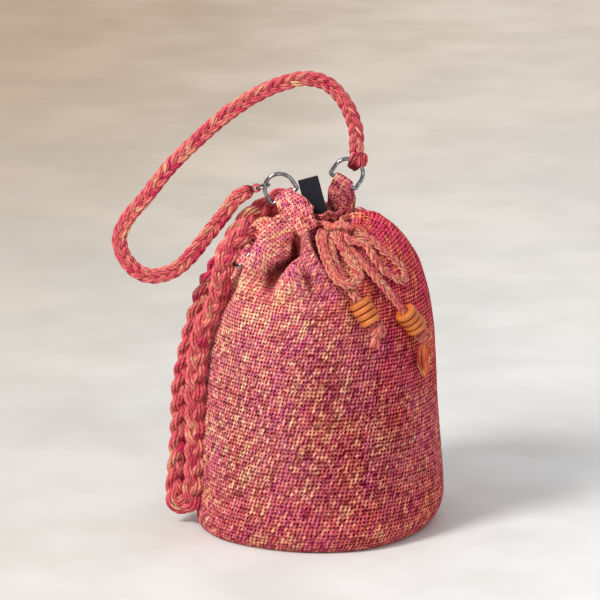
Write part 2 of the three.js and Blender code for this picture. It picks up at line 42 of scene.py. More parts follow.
FRONT = np.array([0.0, -1.0, 0.0])
ASLANT = np.array([0.6, -0.5, 0.62])


def unit(v):
    """The same direction with a length of 1, or one for each row"""
    v = np.array(v, float)
    return v / np.linalg.norm(v, axis=-1, keepdims=True)


def smooth(x):
    c = np.clip(x, 0, 1)
    return c * c * (3 - 2 * c)


def once_round(count):
    return np.linspace(0, FULL_TURN, count, endpoint=False)


def run_along(path):
    """How far along a path each of its points is"""
    return np.concatenate([[0], np.cumsum(np.linalg.norm(np.diff(path, axis=0), axis=1))])


def put(name, data):
    made = bpy.data.objects.new(name, data)
    bpy.context.scene.collection.objects.link(made)
    return made


# Camera: the photo is taken from a little above, with a long lens; rows and columns are in pixels
PHOTO_SIDE, FLOOR_ROW, BAG_COLUMN, SIZE_PER_PIXEL = 600, 521, 322, 0.97
LOOK_DOWN, CAMERA_AWAY, SENSOR_WIDTH, FRONT_HALF = math.radians(15), 4.2, 36, -0.035


def make_camera():
    """The photo's middle pixel looks at a point of an upright plane through the bag's front half"""
    data = bpy.data.cameras.new("camera")
    camera = put("camera", data)
    bpy.context.scene.camera = camera
    pixel = SIZE_PER_PIXEL * MM
    c, s = math.cos(LOOK_DOWN), math.sin(LOOK_DOWN)
    up = (FLOOR_ROW - PHOTO_SIDE / 2) * pixel
    target = np.array([(PHOTO_SIDE / 2 - BAG_COLUMN) * pixel, FRONT_HALF, (up - FRONT_HALF * s) / c])
    camera.location = target + np.array([0, -c, s]) * CAMERA_AWAY
    camera.rotation_euler = (math.pi / 2 - LOOK_DOWN, 0, 0)
    data.sensor_width = SENSOR_WIDTH
    data.lens = SENSOR_WIDTH * CAMERA_AWAY / (PHOTO_SIDE * pixel)
    data.clip_start, data.clip_end = 0.1, 60


make_camera()

# The bag's surface, from the same named sizes as the solids: a value for each of its eight stations
STATIONS = dict(
    radius=(118, 120.5, 113.5, 106, 89, 57, 26, 28),
    height=(0, 38, 125, 205, 257, 289, 304, 314),
    side=(0, 0, 0, 0, 9, 15, 0, 0),
    back=(0, 0, 0, 0, 9, 16, 0, 0),
)
RIM_STATION, RIM_HEIGHT = 7, 314
NECK_SHIFT = (-5, -4)
# Each fold: the degrees and station of its start and of its end, half its width, and its height
FOLDS = [
    ((-130, 5.6), (-146, 3.5), 12, 11),
    ((-122, 5.7), (-82, 3.7), 10, 8),
    ((-108, 4.8), (-112, 4.1), 11, 5),
    ((-106, 5.3), (-128, 3.9), 6, -8),
]
PLEATS = dict(count=9, high=2.2, start=4.2, full=5.1)
CALM = (5.3, 5.9)


def size_at(t, key):
    """A size at any station, on a smooth curve through the named ones"""
    v = np.array(STATIONS[key], float)
    v = np.concatenate([[2 * v[0] - v[1]], v, [2 * v[-1] - v[-2]]])
    i = np.clip(np.floor(t).astype(int), 0, RIM_STATION - 1)
    u = t - i
    a, b, c, d = (v[i + k] for k in range(4))
    return b + 0.5 * u * (c - a + u * (2 * a - 5 * b + 4 * c - d + u * (3 * b - a - 3 * c + d)))


def plain_body(degrees, t):
    turn = np.radians(degrees)
    c, s = np.cos(turn), np.sin(turn)
    drift = smooth((t - 3) / 3)
    radius = size_at(t, "radius")
    lift = size_at(t, "side") * c**2 + size_at(t, "back") * np.maximum(0, s) ** 2
    return np.stack([NECK_SHIFT[0] * drift + radius * c, NECK_SHIFT[1] * drift + radius * s,
                     size_at(t, "height") + lift], -1)


def outwards(degrees, t):
    low, high = np.maximum(0, t - 0.02), np.minimum(RIM_STATION, t + 0.02)
    across = plain_body(degrees + 0.5, t) - plain_body(degrees - 0.5, t)
    return unit(np.cross(across, plain_body(degrees, high) - plain_body(degrees, low)))


def turn_from(middle, degrees):
    """The turn in radians from one place round the bag to another, by the shorter way"""
    return np.radians((degrees - middle + 540) % 360 - 180)


def fold_height(degrees, t):
    gathered = smooth((t - PLEATS["start"]) / (PLEATS["full"] - PLEATS["start"]))
    height = PLEATS["high"] * gathered * np.cos(PLEATS["count"] * np.radians(degrees))
    for (a0, t0), (a1, t1), half, high in FOLDS:
        down = (t0 - t) / (t0 - t1)
        middle = a0 + (a1 - a0) * np.clip(down, 0, 1)
        away = turn_from(middle, degrees) * size_at(t, "radius") / half
        height = height + high * np.exp(-away**2) * smooth((down + 0.25) / 0.4) * smooth((1.3 - down) / 0.6)
    return height * (1 - smooth((t - CALM[0]) / (CALM[1] - CALM[0])))


def drawn_in(height, turn):
    """How far the rounded seam at the foot draws the skin in"""
    up = np.minimum(1, np.maximum(0, height) / (20 + 12 * np.cos(turn)))
    return (10 + 5 * np.cos(turn)) * (1 - np.sqrt(np.maximum(0, 1 - (1 - up) ** 2)))


def on(degrees, t, stand=0.0):
    """A place on the solid's skin, or as far off it as stand says"""
    degrees, t = np.broadcast_arrays(np.asarray(degrees, float), np.asarray(t, float))
    turn = np.radians(degrees)
    p = plain_body(degrees, t)
    inset = drawn_in(p[..., 2], turn)
    p = p + outwards(degrees, t) * (fold_height(degrees, t) + stand)[..., None]
    return p - np.stack([inset * np.cos(turn), inset * np.sin(turn), 0 * inset], -1)


# Routes of the cords, as in the solids
def smooth_path(points, step):
    """Even samples of a centripetal curve through the points, and its length"""
    P = np.array(points, float)
    P = np.vstack([2 * P[0] - P[1], P, 2 * P[-1] - P[-2]])
    fine = []
    for p0, p1, p2, p3 in zip(P, P[1:], P[2:], P[3:]):
        d0, d1, d2 = (max(1e-4, np.linalg.norm(b - a) ** 0.5) for a, b in ((p0, p1), (p1, p2), (p2, p3)))
        m1 = ((p1 - p0) / d0 - (p2 - p0) / (d0 + d1) + (p2 - p1) / d1) * d1
        m2 = ((p2 - p1) / d1 - (p3 - p1) / (d1 + d2) + (p3 - p2) / d2) * d1
        u = np.linspace(0, 1, 40, endpoint=False)[:, None]
        fine.append(p1 + m1 * u + (3 * (p2 - p1) - 2 * m1 - m2) * u**2 + (2 * (p1 - p2) + m1 + m2) * u**3)
    fine = np.vstack(fine + [P[-2][None]])
    run = run_along(fine)
    count = max(2, int(round(run[-1] / step)) + 1)
    s = np.linspace(0, run[-1], count)
    return np.stack([np.interp(s, run, fine[:, k]) for k in range(3)], -1), run[-1]


def frames_along(path, up, closed=False):
    """Side and up directions at each sample; up is a function of the place, rows, or the first one"""
    ahead = np.roll(path, -1, 0) - np.roll(path, 1, 0) if closed else np.gradient(path, axis=0)
    ahead = unit(ahead)
    ups = np.zeros_like(path)
    last = up
    for i, way in enumerate(ahead):
        if callable(up):
            last = up(path[i])
        elif np.ndim(up) == 2:
            last = up[i]
        side = np.cross(way, last)
        side /= np.linalg.norm(side)
        ups[i] = last = np.cross(side, way)
    return np.cross(ahead, ups), ups


def away_from_bag(p, lift=45.0):
    return unit([p[0] - NECK_SHIFT[0], p[1] - NECK_SHIFT[1], lift])


def xyz(*rows):
    """Points of a route: three numbers in a list are a place, three in a tuple are on the bag's skin"""
    return [np.array(r, float) if isinstance(r, list) else on(*map(float, r)) for r in rows]


# Meshes
def mesh_from(name, verts, quads, uvs, tris=(), fold=None):
    """A smooth mesh in metres from points in millimetres; uvs are for its corners, and fold, for painted
    shade, for its points
    """
    mesh = bpy.data.meshes.new(name)
    quads, tris = np.asarray(quads, int).reshape(-1, 4), np.asarray(tris, int).reshape(-1, 3)
    corners = np.concatenate([quads.ravel(), tris.ravel()])
    starts = np.concatenate([np.arange(len(quads)) * 4, len(quads) * 4 + np.arange(len(tris)) * 3])
    mesh.vertices.add(len(verts))
    mesh.vertices.foreach_set("co", (np.asarray(verts, np.float32) * MM).ravel())
    mesh.loops.add(len(corners))
    mesh.loops.foreach_set("vertex_index", corners.astype(np.int32))
    mesh.polygons.add(len(starts))
    mesh.polygons.foreach_set("loop_start", starts.astype(np.int32))
    mesh.polygons.foreach_set("use_smooth", np.ones(len(starts), bool))
    mesh.uv_layers.new(name="UVMap").uv.foreach_set("vector", np.asarray(uvs, np.float32).ravel())
    if fold is not None:
        depths = mesh.attributes.new("fold", "FLOAT", "POINT").data
        depths.foreach_set("value", np.ravel(fold).astype(np.float32))
    mesh.update(calc_edges=True)
    mesh.validate()
    return put(name, mesh)


def grid_faces(rows, columns, close_rows=False, close_columns=False):
    """Quads of a grid of points, and the same quads in a grid whose UV seam isn't shared"""
    r = np.arange(rows if close_rows else rows - 1)
    c = np.arange(columns if close_columns else columns - 1)
    R, C = np.meshgrid(r, c, indexing="ij")
    corners = ((R, C), (R, C + 1), (R + 1, C + 1), (R + 1, C))
    wide = columns + (1 if close_columns else 0)
    quads = np.stack([(a % rows) * columns + b % columns for a, b in corners], -1).reshape(-1, 4)
    seams = np.stack([a * wide + b for a, b in corners], -1).reshape(-1, 4)
    return quads, seams


def grid_object(name, points, along, across, close_rows=False, flip=False):
    """A mesh from a grid of points whose columns close; its UVs, along and across, have the seam twice"""
    quads, seams = grid_faces(*points.shape[:2], close_rows, True)
    if flip:
        quads, seams = quads[:, ::-1], seams[:, ::-1]
    uv = np.stack([along, across], -1).reshape(-1, 2)
    return mesh_from(name, points.reshape(-1, 3), quads, uv[seams.ravel()])


def join(name, parts):
    """Joins objects into the first one and names it"""
    bpy.ops.object.select_all(action="DESELECT")
    for part in parts:
        part.select_set(True)
    bpy.context.view_layer.objects.active = parts[0]
    bpy.ops.object.join()
    parts[0].name = parts[0].data.name = name
    return parts[0]


def tube(name, path, wide, thick, up, sides, closed=False, uv_start=0.0, taper=0, core=None, reach=1.0):
    """A swept strand: its UVs run along it in millimetres and once round it, and near core it gets painted
    shade
    """
    path = np.asarray(path, float)
    side, ups = frames_along(path, up, closed)
    n = len(path)
    turn = once_round(sides)
    grow = np.ones(n)
    if taper and not closed:
        from_end = np.minimum(np.arange(n), np.arange(n)[::-1])
        grow = 0.25 + 0.75 * np.sin(np.clip(from_end / taper, 0, 1) * math.pi / 2)
    w, t = (np.broadcast_to(size, (n,)) * grow / 2 for size in (wide, thick))
    ring = (path[:, None] + side[:, None] * (np.cos(turn) * w[:, None])[..., None]
            + ups[:, None] * (np.sin(turn) * t[:, None])[..., None])
    quads, seams = grid_faces(n, sides, closed, True)
    run = run_along(path)
    if closed:
        run = np.append(run, run[-1] + np.linalg.norm(path[0] - path[-1]))
    U, V = np.meshgrid(run + uv_start, np.linspace(0, 1, sides + 1), indexing="ij")
    uv = np.stack([U, V], -1).reshape(-1, 2)[seams[:, ::-1].ravel()]
    verts, tris = ring.reshape(-1, 3), []
    fold = np.zeros(ring.shape[:2])
    # The fold attribute: painted shade where the yarn lies near its strand's core
    if core is not None:
        fold = 1 - smooth((np.linalg.norm(ring - core[:, None], axis=2) / reach - 0.5) / 0.42)
    if not closed:
        fold = np.append(fold, [0, 0])
        verts = np.vstack([verts, path[0], path[-1]])
        last = (n - 1) * sides
        for j in range(sides):
            k = (j + 1) % sides
            tris += [(n * sides, j, k), (n * sides + 1, last + k, last + j)]
        uv = np.vstack([uv, np.tile([[uv_start, 0.5]], (len(tris) * 3, 1))])
    return mesh_from(name, verts, quads[:, ::-1], uv, tris, fold)


YARN_SIDES, YARN_TWIST, YARN_WAVE = 6, 90, 37


def plait(name, path, up, spread, rise, wide, thick, lay, yarn, yarns=6, strands=3, seed=0, closed=False,
          taper=2, fullness=1.0):
    """Strands of several yarns, which cross over and under each other along a path of even samples

    fullness draws the strands together where it is less than 1, for the whole path or for each sample
    """
    path = np.asarray(path, float)
    side, ups = frames_along(path, up, closed)
    run = run_along(path)
    total = run[-1] + (np.linalg.norm(path[0] - path[-1]) if closed else 0)
    turns = round(total / lay) if closed else total / lay
    reach = (wide + thick) / 4
    twist = FULL_TURN * round(total / YARN_TWIST) / total
    waves = max(1, round(total / YARN_WAVE))
    stray = np.random.default_rng(seed)
    full = np.broadcast_to(fullness, (len(path),))
    spread, rise, wide, thick = (full * size for size in (spread, rise, wide, thick))
    made = []
    for k in range(strands):
        phase = FULL_TURN * (run / total * turns + k / strands)
        middle = path + side * (spread * np.sin(phase))[:, None] + ups * (rise * np.sin(2 * phase))[:, None]
        for j in range(yarns):
            a = FULL_TURN * j / yarns + twist * run + 0.8 * k
            off = 1 + 0.16 * np.sin(FULL_TURN * (run / total * waves + stray.random()))
            line = (middle + side * (np.maximum(0, wide - yarn) / 2 * off * np.cos(a))[:, None]
                    + ups * (np.maximum(0, thick - yarn) / 2 * off * np.sin(a))[:, None])
            made.append(tube(f"{name}_{k}_{j}", line, yarn, yarn, ups, YARN_SIDES, closed,
                             1000 * seed + 311.7 * k + 4.3 * j, taper, middle, reach))
    return join(name, made)


# Materials: each is procedural, and its sockets take Python's operators
def rgb(*screen):
    """A colour given as screen values from 0 to 255"""
    return tuple(c / 255 / 12.92 if c < 10.3 else ((c / 255 + 0.055) / 1.055) ** 2.4 for c in screen) + (1,)


class Socket:
    """A node's output; its operators add Math nodes for numbers, and Mix or Vector Math nodes for the rest"""

    def __init__(self, paint, out):
        self.paint = paint
        self.out = out

    def join(self, operation, a, b):
        kinds = {x.out.type for x in (a, b) if isinstance(x, Socket)}
        kinds |= {"RGBA" if len(x) == 4 else "VECTOR" for x in (a, b) if isinstance(x, tuple)}
        if "RGBA" in kinds:
            a, b = ((x, x, x, 1) if isinstance(x, (int, float)) else x for x in (a, b))
            return self.paint.node("ShaderNodeMix", 2, {0: 1.0, 6: a, 7: b}, data_type="RGBA",
                                   blend_type=operation)
        if "VECTOR" in kinds:
            a, b = ((x, x, x) if isinstance(x, (int, float)) else x for x in (a, b))
            return self.paint.node("ShaderNodeVectorMath", 0, {0: a, 1: b}, operation=operation)
        return self.paint.math(operation, a, b)

    def __add__(self, other):
        return self.join("ADD", self, other)

    def __radd__(self, other):
        return self.join("ADD", other, self)

    def __sub__(self, other):
        return self.join("SUBTRACT", self, other)

    def __rsub__(self, other):
        return self.join("SUBTRACT", other, self)

    def __mul__(self, other):
        return self.join("MULTIPLY", self, other)

    def __rmul__(self, other):
        return self.join("MULTIPLY", other, self)

    def __truediv__(self, other):
        return self.join("DIVIDE", self, other)

    def __pow__(self, other):
        return self.paint.math("POWER", self, other)

    def __abs__(self):
        return self.paint.math("ABSOLUTE", self)

    def floor(self):
        return self.paint.math("FLOOR", self)

    def fract(self):
        return self.paint.math("FRACT", self)

    def wave(self):
        """Goes from 0 to 1 and back once for each whole number"""
        return 0.5 + 0.5 * self.paint.math("SINE", self * FULL_TURN)

    def ramp(self, low, high, a=0.0, b=1.0):
        """Goes smoothly from a to b as this goes from low to high"""
        return self.paint.node("ShaderNodeMapRange", 0, {0: self, 1: low, 2: high, 3: a, 4: b},
                               interpolation_type="SMOOTHSTEP")

    def blend(self, a, b):
        """Colour a where this is 0 and b where it is 1"""
        return self.paint.node("ShaderNodeMix", 2, {0: self, 6: a, 7: b}, data_type="RGBA")

    def colours(self, *stops):
        """A colour for each value: stops are (position, colour)"""
        made = self.paint.node("ShaderNodeValToRGB", 0, {0: self})
        elements = made.out.node.color_ramp.elements
        while len(elements) < len(stops):
            elements.new(0.5)
        for element, (position, colour) in zip(elements, stops):
            element.position, element.color = position, colour
        return made


class Paint:
    """A material with a Principled shader"""

    def __init__(self, name):
        self.material = bpy.data.materials.new(name)
        self.material.use_nodes = True
        self.tree = self.material.node_tree
        self.shader = next(n for n in self.tree.nodes if n.type == "BSDF_PRINCIPLED")

    def wire(self, node, values):
        for key, value in values.items():
            if isinstance(value, Socket):
                self.tree.links.new(value.out, node.inputs[key])
            else:
                node.inputs[key].default_value = value

    def node(self, kind, output, values, **settings):
        """A node of some kind: its settings come first, then the values or links of its sockets"""
        node = self.tree.nodes.new(kind)
        for key, value in settings.items():
            setattr(node, key, value)
        self.wire(node, values)
        return Socket(self, node.outputs[output])

    def math(self, operation, *values):
        return self.node("ShaderNodeMath", 0, dict(enumerate(values)), operation=operation)

    def place(self):
        """Object coordinates in millimetres"""
        return self.node("ShaderNodeTexCoord", "Object", {}) * (1000.0, 1000.0, 1000.0)

    def uv(self):
        return self.split(self.node("ShaderNodeTexCoord", "UV", {}))[:2]

    # How much painted shade a place gets: deep in a crease of the skin, or inside a plait
    def fold(self):
        return self.node("ShaderNodeAttribute", 2, {}, attribute_name="fold")

    def split(self, vector):
        first = self.node("ShaderNodeSeparateXYZ", 0, {0: vector})
        return [Socket(self, out) for out in first.out.node.outputs]

    def vec(self, x, y, z=0.0):
        return self.node("ShaderNodeCombineXYZ", 0, {0: x, 1: y, 2: z})

    def noise(self, at, scale, detail=2.0):
        return self.node("ShaderNodeTexNoise", 0, {"Vector": at, "Scale": scale, "Detail": detail})

    def white(self, at):
        return self.node("ShaderNodeTexWhiteNoise", 0, {"Vector": at}, noise_dimensions="3D")

    def finish(self, colour, roughness, height, depth, metal=0.0, sheen=0.0, coat=0.0, gloss=0.5):
        """Wires the shader; the bumps are as deep as depth says in millimetres"""
        bump = self.node("ShaderNodeBump", 0, {"Strength": 1.0, "Distance": depth * MM, "Height": height})
        self.wire(self.shader, {
            "Base Color": colour, "Roughness": roughness, "Metallic": metal, "Specular IOR Level": gloss,
            "Sheen Weight": sheen, "Sheen Roughness": 0.5, "Coat Weight": coat, "Normal": bump,
        })
        return self.material


# Yarn colours as they look in full light; in painted shade between the strands, in the holes and in the
# creases they go down to a deep maroon
MAUVE, MAGENTA, ROSE, CORAL = rgb(240, 128, 180), rgb(232, 84, 138), rgb(255, 164, 178), rgb(255, 172, 160)
BRICK, PEACH, CREAM, SHADE_MAROON = rgb(234, 98, 104), rgb(255, 204, 162), rgb(255, 226, 188), rgb(92, 0, 12)
CRIMSON, FLAME, PINK, AMBER = rgb(240, 36, 92), rgb(255, 104, 72), rgb(255, 136, 150), rgb(255, 194, 116)
STRAND_SLANT = 0.7


def crochet_paint(name, depth):
    """Variegated crochet: UVs count stitches round and rows up, and a small hole is left at each corner"""
    p = Paint(name)
    u, v = p.uv()
    place = p.place()
    x, _, z = p.split(place)
    # Hand-worked rows wander a little
    u = u + (p.noise(place, 0.16, 1.0) - 0.5) * 0.35
    v = v + (p.noise(place + (31.0, 7.0, 3.0), 0.16, 1.0) - 0.5) * 0.3
    du, dv = (u + 0.5).fract() - 0.5, (v + 0.5).fract() - 0.5
    row_edge = abs(dv) * 2.0
    # The holes close up on the crown and far to the left
    far = (du * du * 8.0 + dv * dv * 4.6) ** 0.5
    crown = p.math("MAXIMUM", z.ramp(225.0, 262.0), x.ramp(-88.0, -112.0))
    size = p.white(p.vec((u + 0.5).floor(), (v + 0.5).floor(), 9.0)) * 0.16 - 0.2 * crown
    hole = (far - size).ramp(0.3, 0.94, 1.0, 0.0)
    # The yarn changes colour in leaning streaks, by the stitch and by its strands
    stitch = p.white(p.vec(u.floor(), v.floor()))
    half = p.white(p.vec((u * 2.0 - v * STRAND_SLANT).floor(), (v + 0.5).floor(), 4.0))
    streak = p.noise(p.vec((u - v * 0.3) * 0.5, v * 0.12), 1.0, 2.2)
    patch = p.noise(p.vec(u * 0.07, v * 0.05, 5.0), 1.0, 1.0)
    tone = (streak - 0.5) * 1.5 + (patch - 0.5) * 0.4 + (stitch - 0.5) * 0.34 + (half - 0.5) * 0.24 + 0.46
    # The left side and the left crown take lighter yarn colours, partly as yarn tone and partly as painted
    # light
    left_crown = x.ramp(0.0, -50.0) * z.ramp(190.0, 240.0)
    left, right = x.ramp(10.0, -110.0), x.ramp(-30.0, 90.0)
    tone = tone + left_crown * 0.04 + left * 0.07
    yarn = tone.colours((0.0, MAUVE), (0.18, MAGENTA), (0.34, ROSE), (0.48, BRICK), (0.62, CORAL),
                        (0.84, PEACH), (1.0, CREAM))
    # The right side is a little darker and redder, partly as yarn colour and partly as painted shade
    yarn = right.blend(yarn, yarn * rgb(255, 236, 234))
    # Darker and redder towards the bottom
    yarn = z.ramp(100.0, 20.0).blend(yarn, yarn * rgb(250, 230, 228))
    # The right flank is crimson and flame, with lighter lines between its rows
    drift = (p.noise(place, 0.018, 3.0) - 0.5) * 190.0
    flank = (x + drift).ramp(14.0, 84.0) * (z + drift).ramp(40.0, 290.0, 0.0, 1.3)
    flank = (flank + (patch + streak * 0.3).ramp(0.62, 0.8) * 0.4).ramp(0.05, 0.95, 0.0, 0.8)
    band = (streak + (patch - 0.5) * 0.6).ramp(0.46, 0.64)
    line = row_edge.ramp(0.6, 0.95) * (0.35 + 0.65 * half)
    yarn = flank.blend(yarn, line.blend(band.blend(CRIMSON, FLAME), band.blend(PINK, AMBER)))
    # Painted light and shade on the strands and the row edges, painted light on the left and the left crown,
    # and a painted shadow under the beads
    strand = (u * 2.0 - v * STRAND_SLANT).wave()
    fibre = p.noise(p.vec(u * 4.0, v * 3.0), 1.0, 3.0)
    ridge = row_edge.ramp(0.0, 0.5) * 0.06
    shade = strand.ramp(0.1, 0.9) * 0.66 + ridge + (half - 0.5) * 0.74 + (stitch - 0.5) * 0.42
    shade = shade + (fibre - 0.5) * 1.3 + 0.2 + 0.24 * left_crown + 0.1 * left * z.ramp(90.0, 210.0)
    near = x + drift * 0.2
    bead_shadow = near.ramp(-50.0, 10.0) * near.ramp(100.0, 50.0) * z.ramp(230.0, 165.0) * z.ramp(25.0, 70.0)
    # Painted shade deep in the creases, from the fold attribute, and in the stitch holes, both going down to
    # the shade maroon
    shade = (shade - 0.16 * bead_shadow).ramp(0.0, 0.94) * (1.0 - 0.92 * p.fold()) * (1.0 - hole)
    height = (1.0 - hole) * 0.62 + strand * 0.26 + ridge + fibre * 0.3
    return p.finish(shade.blend(SHADE_MAROON, yarn), 0.88 + 0.08 * hole, height, depth, sheen=0.02, gloss=0.04)


def yarn_paint(name, low, middle, high, fleck, pitch, depth, dim):
    """Spun yarn: UVs run along it in millimetres and once round it, from each yarn's own start"""
    p = Paint(name)
    u, v = p.uv()
    along = p.noise(p.vec(u * 0.04, 0.0), 1.0, 2.0)
    thread = p.noise(p.vec(u * 0.2, v * 2.0, 3.0), 1.0, 2.0)
    ply = (v * 2.0 + u / pitch).wave()
    fibre = p.noise(p.vec(u * 0.9, v * 7.0 + u * 0.6, 7.0), 1.0, 2.0)
    tone = (along - 0.5) * 2.6 + (thread - 0.5) * 1.0 + 0.44
    colour = tone.colours((0.05, low), (0.36, middle), (0.62, high), (0.9, fleck))
    # Painted shade in the grooves between the plies, and deep inside the plait where its fold attribute is
    # high, as strongly as dim says
    shade = (ply * 0.18 + (fibre - 0.5) * 0.7 + 0.58) * (1.0 - dim * p.fold())
    return p.finish(shade.ramp(0.0, 1.0).blend(SHADE_MAROON, colour), 0.85, ply * 0.5 + fibre * 0.5, depth,
                    sheen=0.06, gloss=0.12)


def metal_paint():
    p = Paint("polished_nickel")
    place = p.place()
    haze = p.noise(place, 0.35, 3.0)
    scratch = p.noise(place * (2.0, 2.0, 0.2), 1.5, 2.0)
    colour = haze.ramp(0.3, 0.7).blend(rgb(104, 106, 112), rgb(170, 170, 174))
    return p.finish(colour, 0.05 + 0.08 * haze + 0.05 * scratch, scratch, 0.01, metal=1.0)


def wood_paint():
    """Each bead has its own end grain and tone, from its own place"""
    p = Paint("bead_wood")
    u, v = p.uv()
    grain = p.noise(p.vec(u * 0.6, v * 9.0), 1.0, 4.0)
    tone = p.noise(p.place(), 0.09, 1.0)
    line = p.noise(p.vec(u * 0.3, v * 34.0, 2.0), 1.0, 2.0)
    colour = (grain * 0.7 + tone * 0.5 - 0.1).colours((0.2, rgb(150, 68, 20)), (0.5, rgb(206, 108, 40)),
                                                      (0.8, rgb(236, 146, 70)))
    colour = colour * (0.86 + 0.2 * line)
    return p.finish(colour, 0.38 + 0.2 * grain, grain + line * 0.6, 0.12, coat=0.25)


def cloth_paint(name, colour, dark, threads, roughness=0.85, depth=0.12):
    """A plain weave whose UVs are in millimetres"""
    p = Paint(name)
    u, v = p.uv()
    warp, weft = (u * threads).wave(), (v * threads).wave()
    checks = (u * threads * 0.5).floor() + (v * threads * 0.5).floor()
    over = p.math("PINGPONG", checks, 1.0)
    weave = warp * over + weft * (1.0 - over)
    slub = p.noise(p.vec(u * 0.2, v * 2.0), 1.0, 3.0)
    # Painted shade where the threads dip under each other, with the slubs' own tone
    mixed = (weave * 0.5 + slub * 0.6).ramp(0.1, 0.95).blend(dark, colour)
    return p.finish(mixed, roughness, weave + slub * 0.3, depth, sheen=0.05, gloss=0.3)


def board_paint():
    p = Paint("grey_board")
    fibre = p.noise(p.place() * (1.0, 0.25, 1.0), 0.9, 4.0)
    return p.finish(fibre.blend(rgb(92, 84, 74), rgb(130, 121, 108)), 0.9, fibre, 0.15)


def floor_paint():
    """Cloudy plaster, darker and warmer far out to the left"""
    p = Paint("pale_floor")
    place = p.place()
    across, away, _ = p.split(place)
    cloud = p.noise(place, 0.0045, 5.0)
    vein = p.noise(place + (400.0, 90.0, 30.0), 0.011, 4.0)
    side = (across + (cloud - 0.5) * 500.0).ramp(-450.0, 350.0)
    near = side.blend(rgb(214, 212, 207), rgb(236, 238, 239))
    far = side.blend(rgb(212, 188, 164), rgb(246, 233, 220))
    colour = (away + (cloud - 0.5) * 1500.0).ramp(0.0, 2600.0).blend(near, far)
    colour = (cloud * 0.6 + vein * 0.4).ramp(0.38, 0.62).blend(colour * rgb(245, 244, 242), colour)
    return p.finish(colour, 0.75, vein, 0.6)


crochet = crochet_paint("crochet", 0.62)
tab_crochet = crochet_paint("tab_crochet", 0.5)
braid = yarn_paint("braid_yarn", rgb(220, 58, 100), rgb(240, 104, 114), rgb(252, 142, 134),
                   rgb(255, 200, 150), pitch=5.0, depth=0.3, dim=0.9)
string = yarn_paint("string_yarn", rgb(240, 88, 112), rgb(255, 136, 126), rgb(255, 174, 142),
                    rgb(255, 210, 160), pitch=4.0, depth=0.2, dim=0.75)
tassel = yarn_paint("tassel_yarn", rgb(232, 70, 84), rgb(240, 104, 70), rgb(252, 140, 84),
                    rgb(255, 222, 160), pitch=4.0, depth=0.2, dim=0.6)
metal, wood, board, floor_finish = metal_paint(), wood_paint(), board_paint(), floor_paint()
lining_cloth = cloth_paint("lining_cloth", rgb(150, 52, 66), rgb(104, 30, 44), threads=2.2)
tape = cloth_paint("label_tape", rgb(22, 26, 40), rgb(8, 10, 17), threads=2.6, roughness=0.62,
                   depth=0.08)


def dress(made, material, slot, body, *nodes):
    """Gives a piece its material, ties it to its body and hides the solids it stands for; slot is not used"""
    made.data.materials.clear()
    made.data.materials.append(material)
    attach(made, body)
    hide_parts(*nodes)
    return made


# The sling strap, the first of the free cords
STRAP_ROUTE = xyz(
    [-27, 4, 324], [-40, 5, 323], (-187, 5.22, 10), (-173, 4.86, 10), (-168, 4.5, 10), (-166, 4.16, 10.5),
    (-167, 3.8, 11.5), [-111.5, -13, 240], [-123, -12, 205], [-131, -12, 175], [-136.5, -12, 145],
    [-138.5, -12, 115], [-139.5, -13, 90], [-141.5, -14, 65], [-143.5, -16, 43], [-144.5, -20, 28],
    [-139, -25, 20], [-130, -29, 24], [-126.5, -31, 38], [-124.5, -31, 60], [-124, -31, 85],
    [-124, -32, 115], [-123.5, -33, 145], [-121, -35, 175], [-116, -39, 203], (-158, 3.35, 9.5),
    [-97.5, -54, 256], [-94, -60, 275], [-86.5, -60.8, 292.5], [-75.6, -55.6, 303.4], [-67.3, -51.6, 310.4],
)
LOOP_LEFT = xyz(
    [1.5, -51.1, 305.4], (-87.5, 5.08, 11), (-85.6, 4.59, 10.2), (-83.5, 4.3, 12), (-80.5, 4.07, 15.5),
    (-75.9, 3.98, 17.5), (-70.2, 4.01, 15.5), (-66.9, 4.13, 12.5), (-67.1, 4.31, 10.5), (-69.6, 4.69, 8.5),
    [10.5, -54, 305],
)
LOOP_RIGHT = xyz(
    [18.7, -53.9, 305], (-62, 5.0, 9.5), (-54.1, 4.82, 9), (-50.7, 4.7, 8), (-49.8, 4.45, 6),
    (-47.9, 4.19, 4.5), (-42.1, 3.98, 4), (-36.1, 3.85, 4), (-31.2, 3.88, 4), (-30.3, 4, 4),
    (-33.3, 4.2, 3.8), (-38.6, 4.48, 3.5), (-41.5, 4.75, 3.3), (-44.9, 4.99, 3.3), [31.3, -46.9, 304.6],
)
NECK_RADIUS, NECK_HEIGHT, NECK_TURNS = 29.6, 308.4, range(-112, -401, -24)


def round_neck(radius, degrees, height):
    """A place round the middle of the neck, which stands a little to one side"""
    a = math.radians(degrees)
    return [NECK_SHIFT[0] + radius * math.cos(a), NECK_SHIFT[1] + radius * math.sin(a), height]


NECK_ROUTE = xyz([7.5, -35.9, 307.6], *(round_neck(NECK_RADIUS, a, NECK_HEIGHT) for a in NECK_TURNS),
                 [21.5, -36.2, 307.6])

BEAD_PITCH, BEAD_THICKNESS, BEAD_RADIUS, BEAD_BORE, BEAD_RIM = 6.3, 5.5, 10.8, 4.3, 2.1
BEADS_IN_STACK, BEAD_TRAVEL, KNOT_RADIUS = 4, 4, 8
STACKS = dict(
    left=dict(start=[7.6, -48.3, 299.9], top=(-74.2, 3.94, 12.6), foot=(-65.4, 3.31, 12.6), hang=(-2, -2, -9),
              lead=[(-78.6, 5.05, 4.9), (-79.6, 4.8, 4.5), (-79.6, 4.5, 4.6)]),
    right=dict(start=[15.5, -47.8, 299.2], top=(-50.5, 3.64, 12), foot=(-38, 3.08, 12), hang=(2, 5, -36),
               lead=[(-64.6, 5.05, 3.6), (-62.9, 4.75, 4.2), (-60.2, 4.4, 5.6), (-57.2, 4.13, 8.4)]),
)


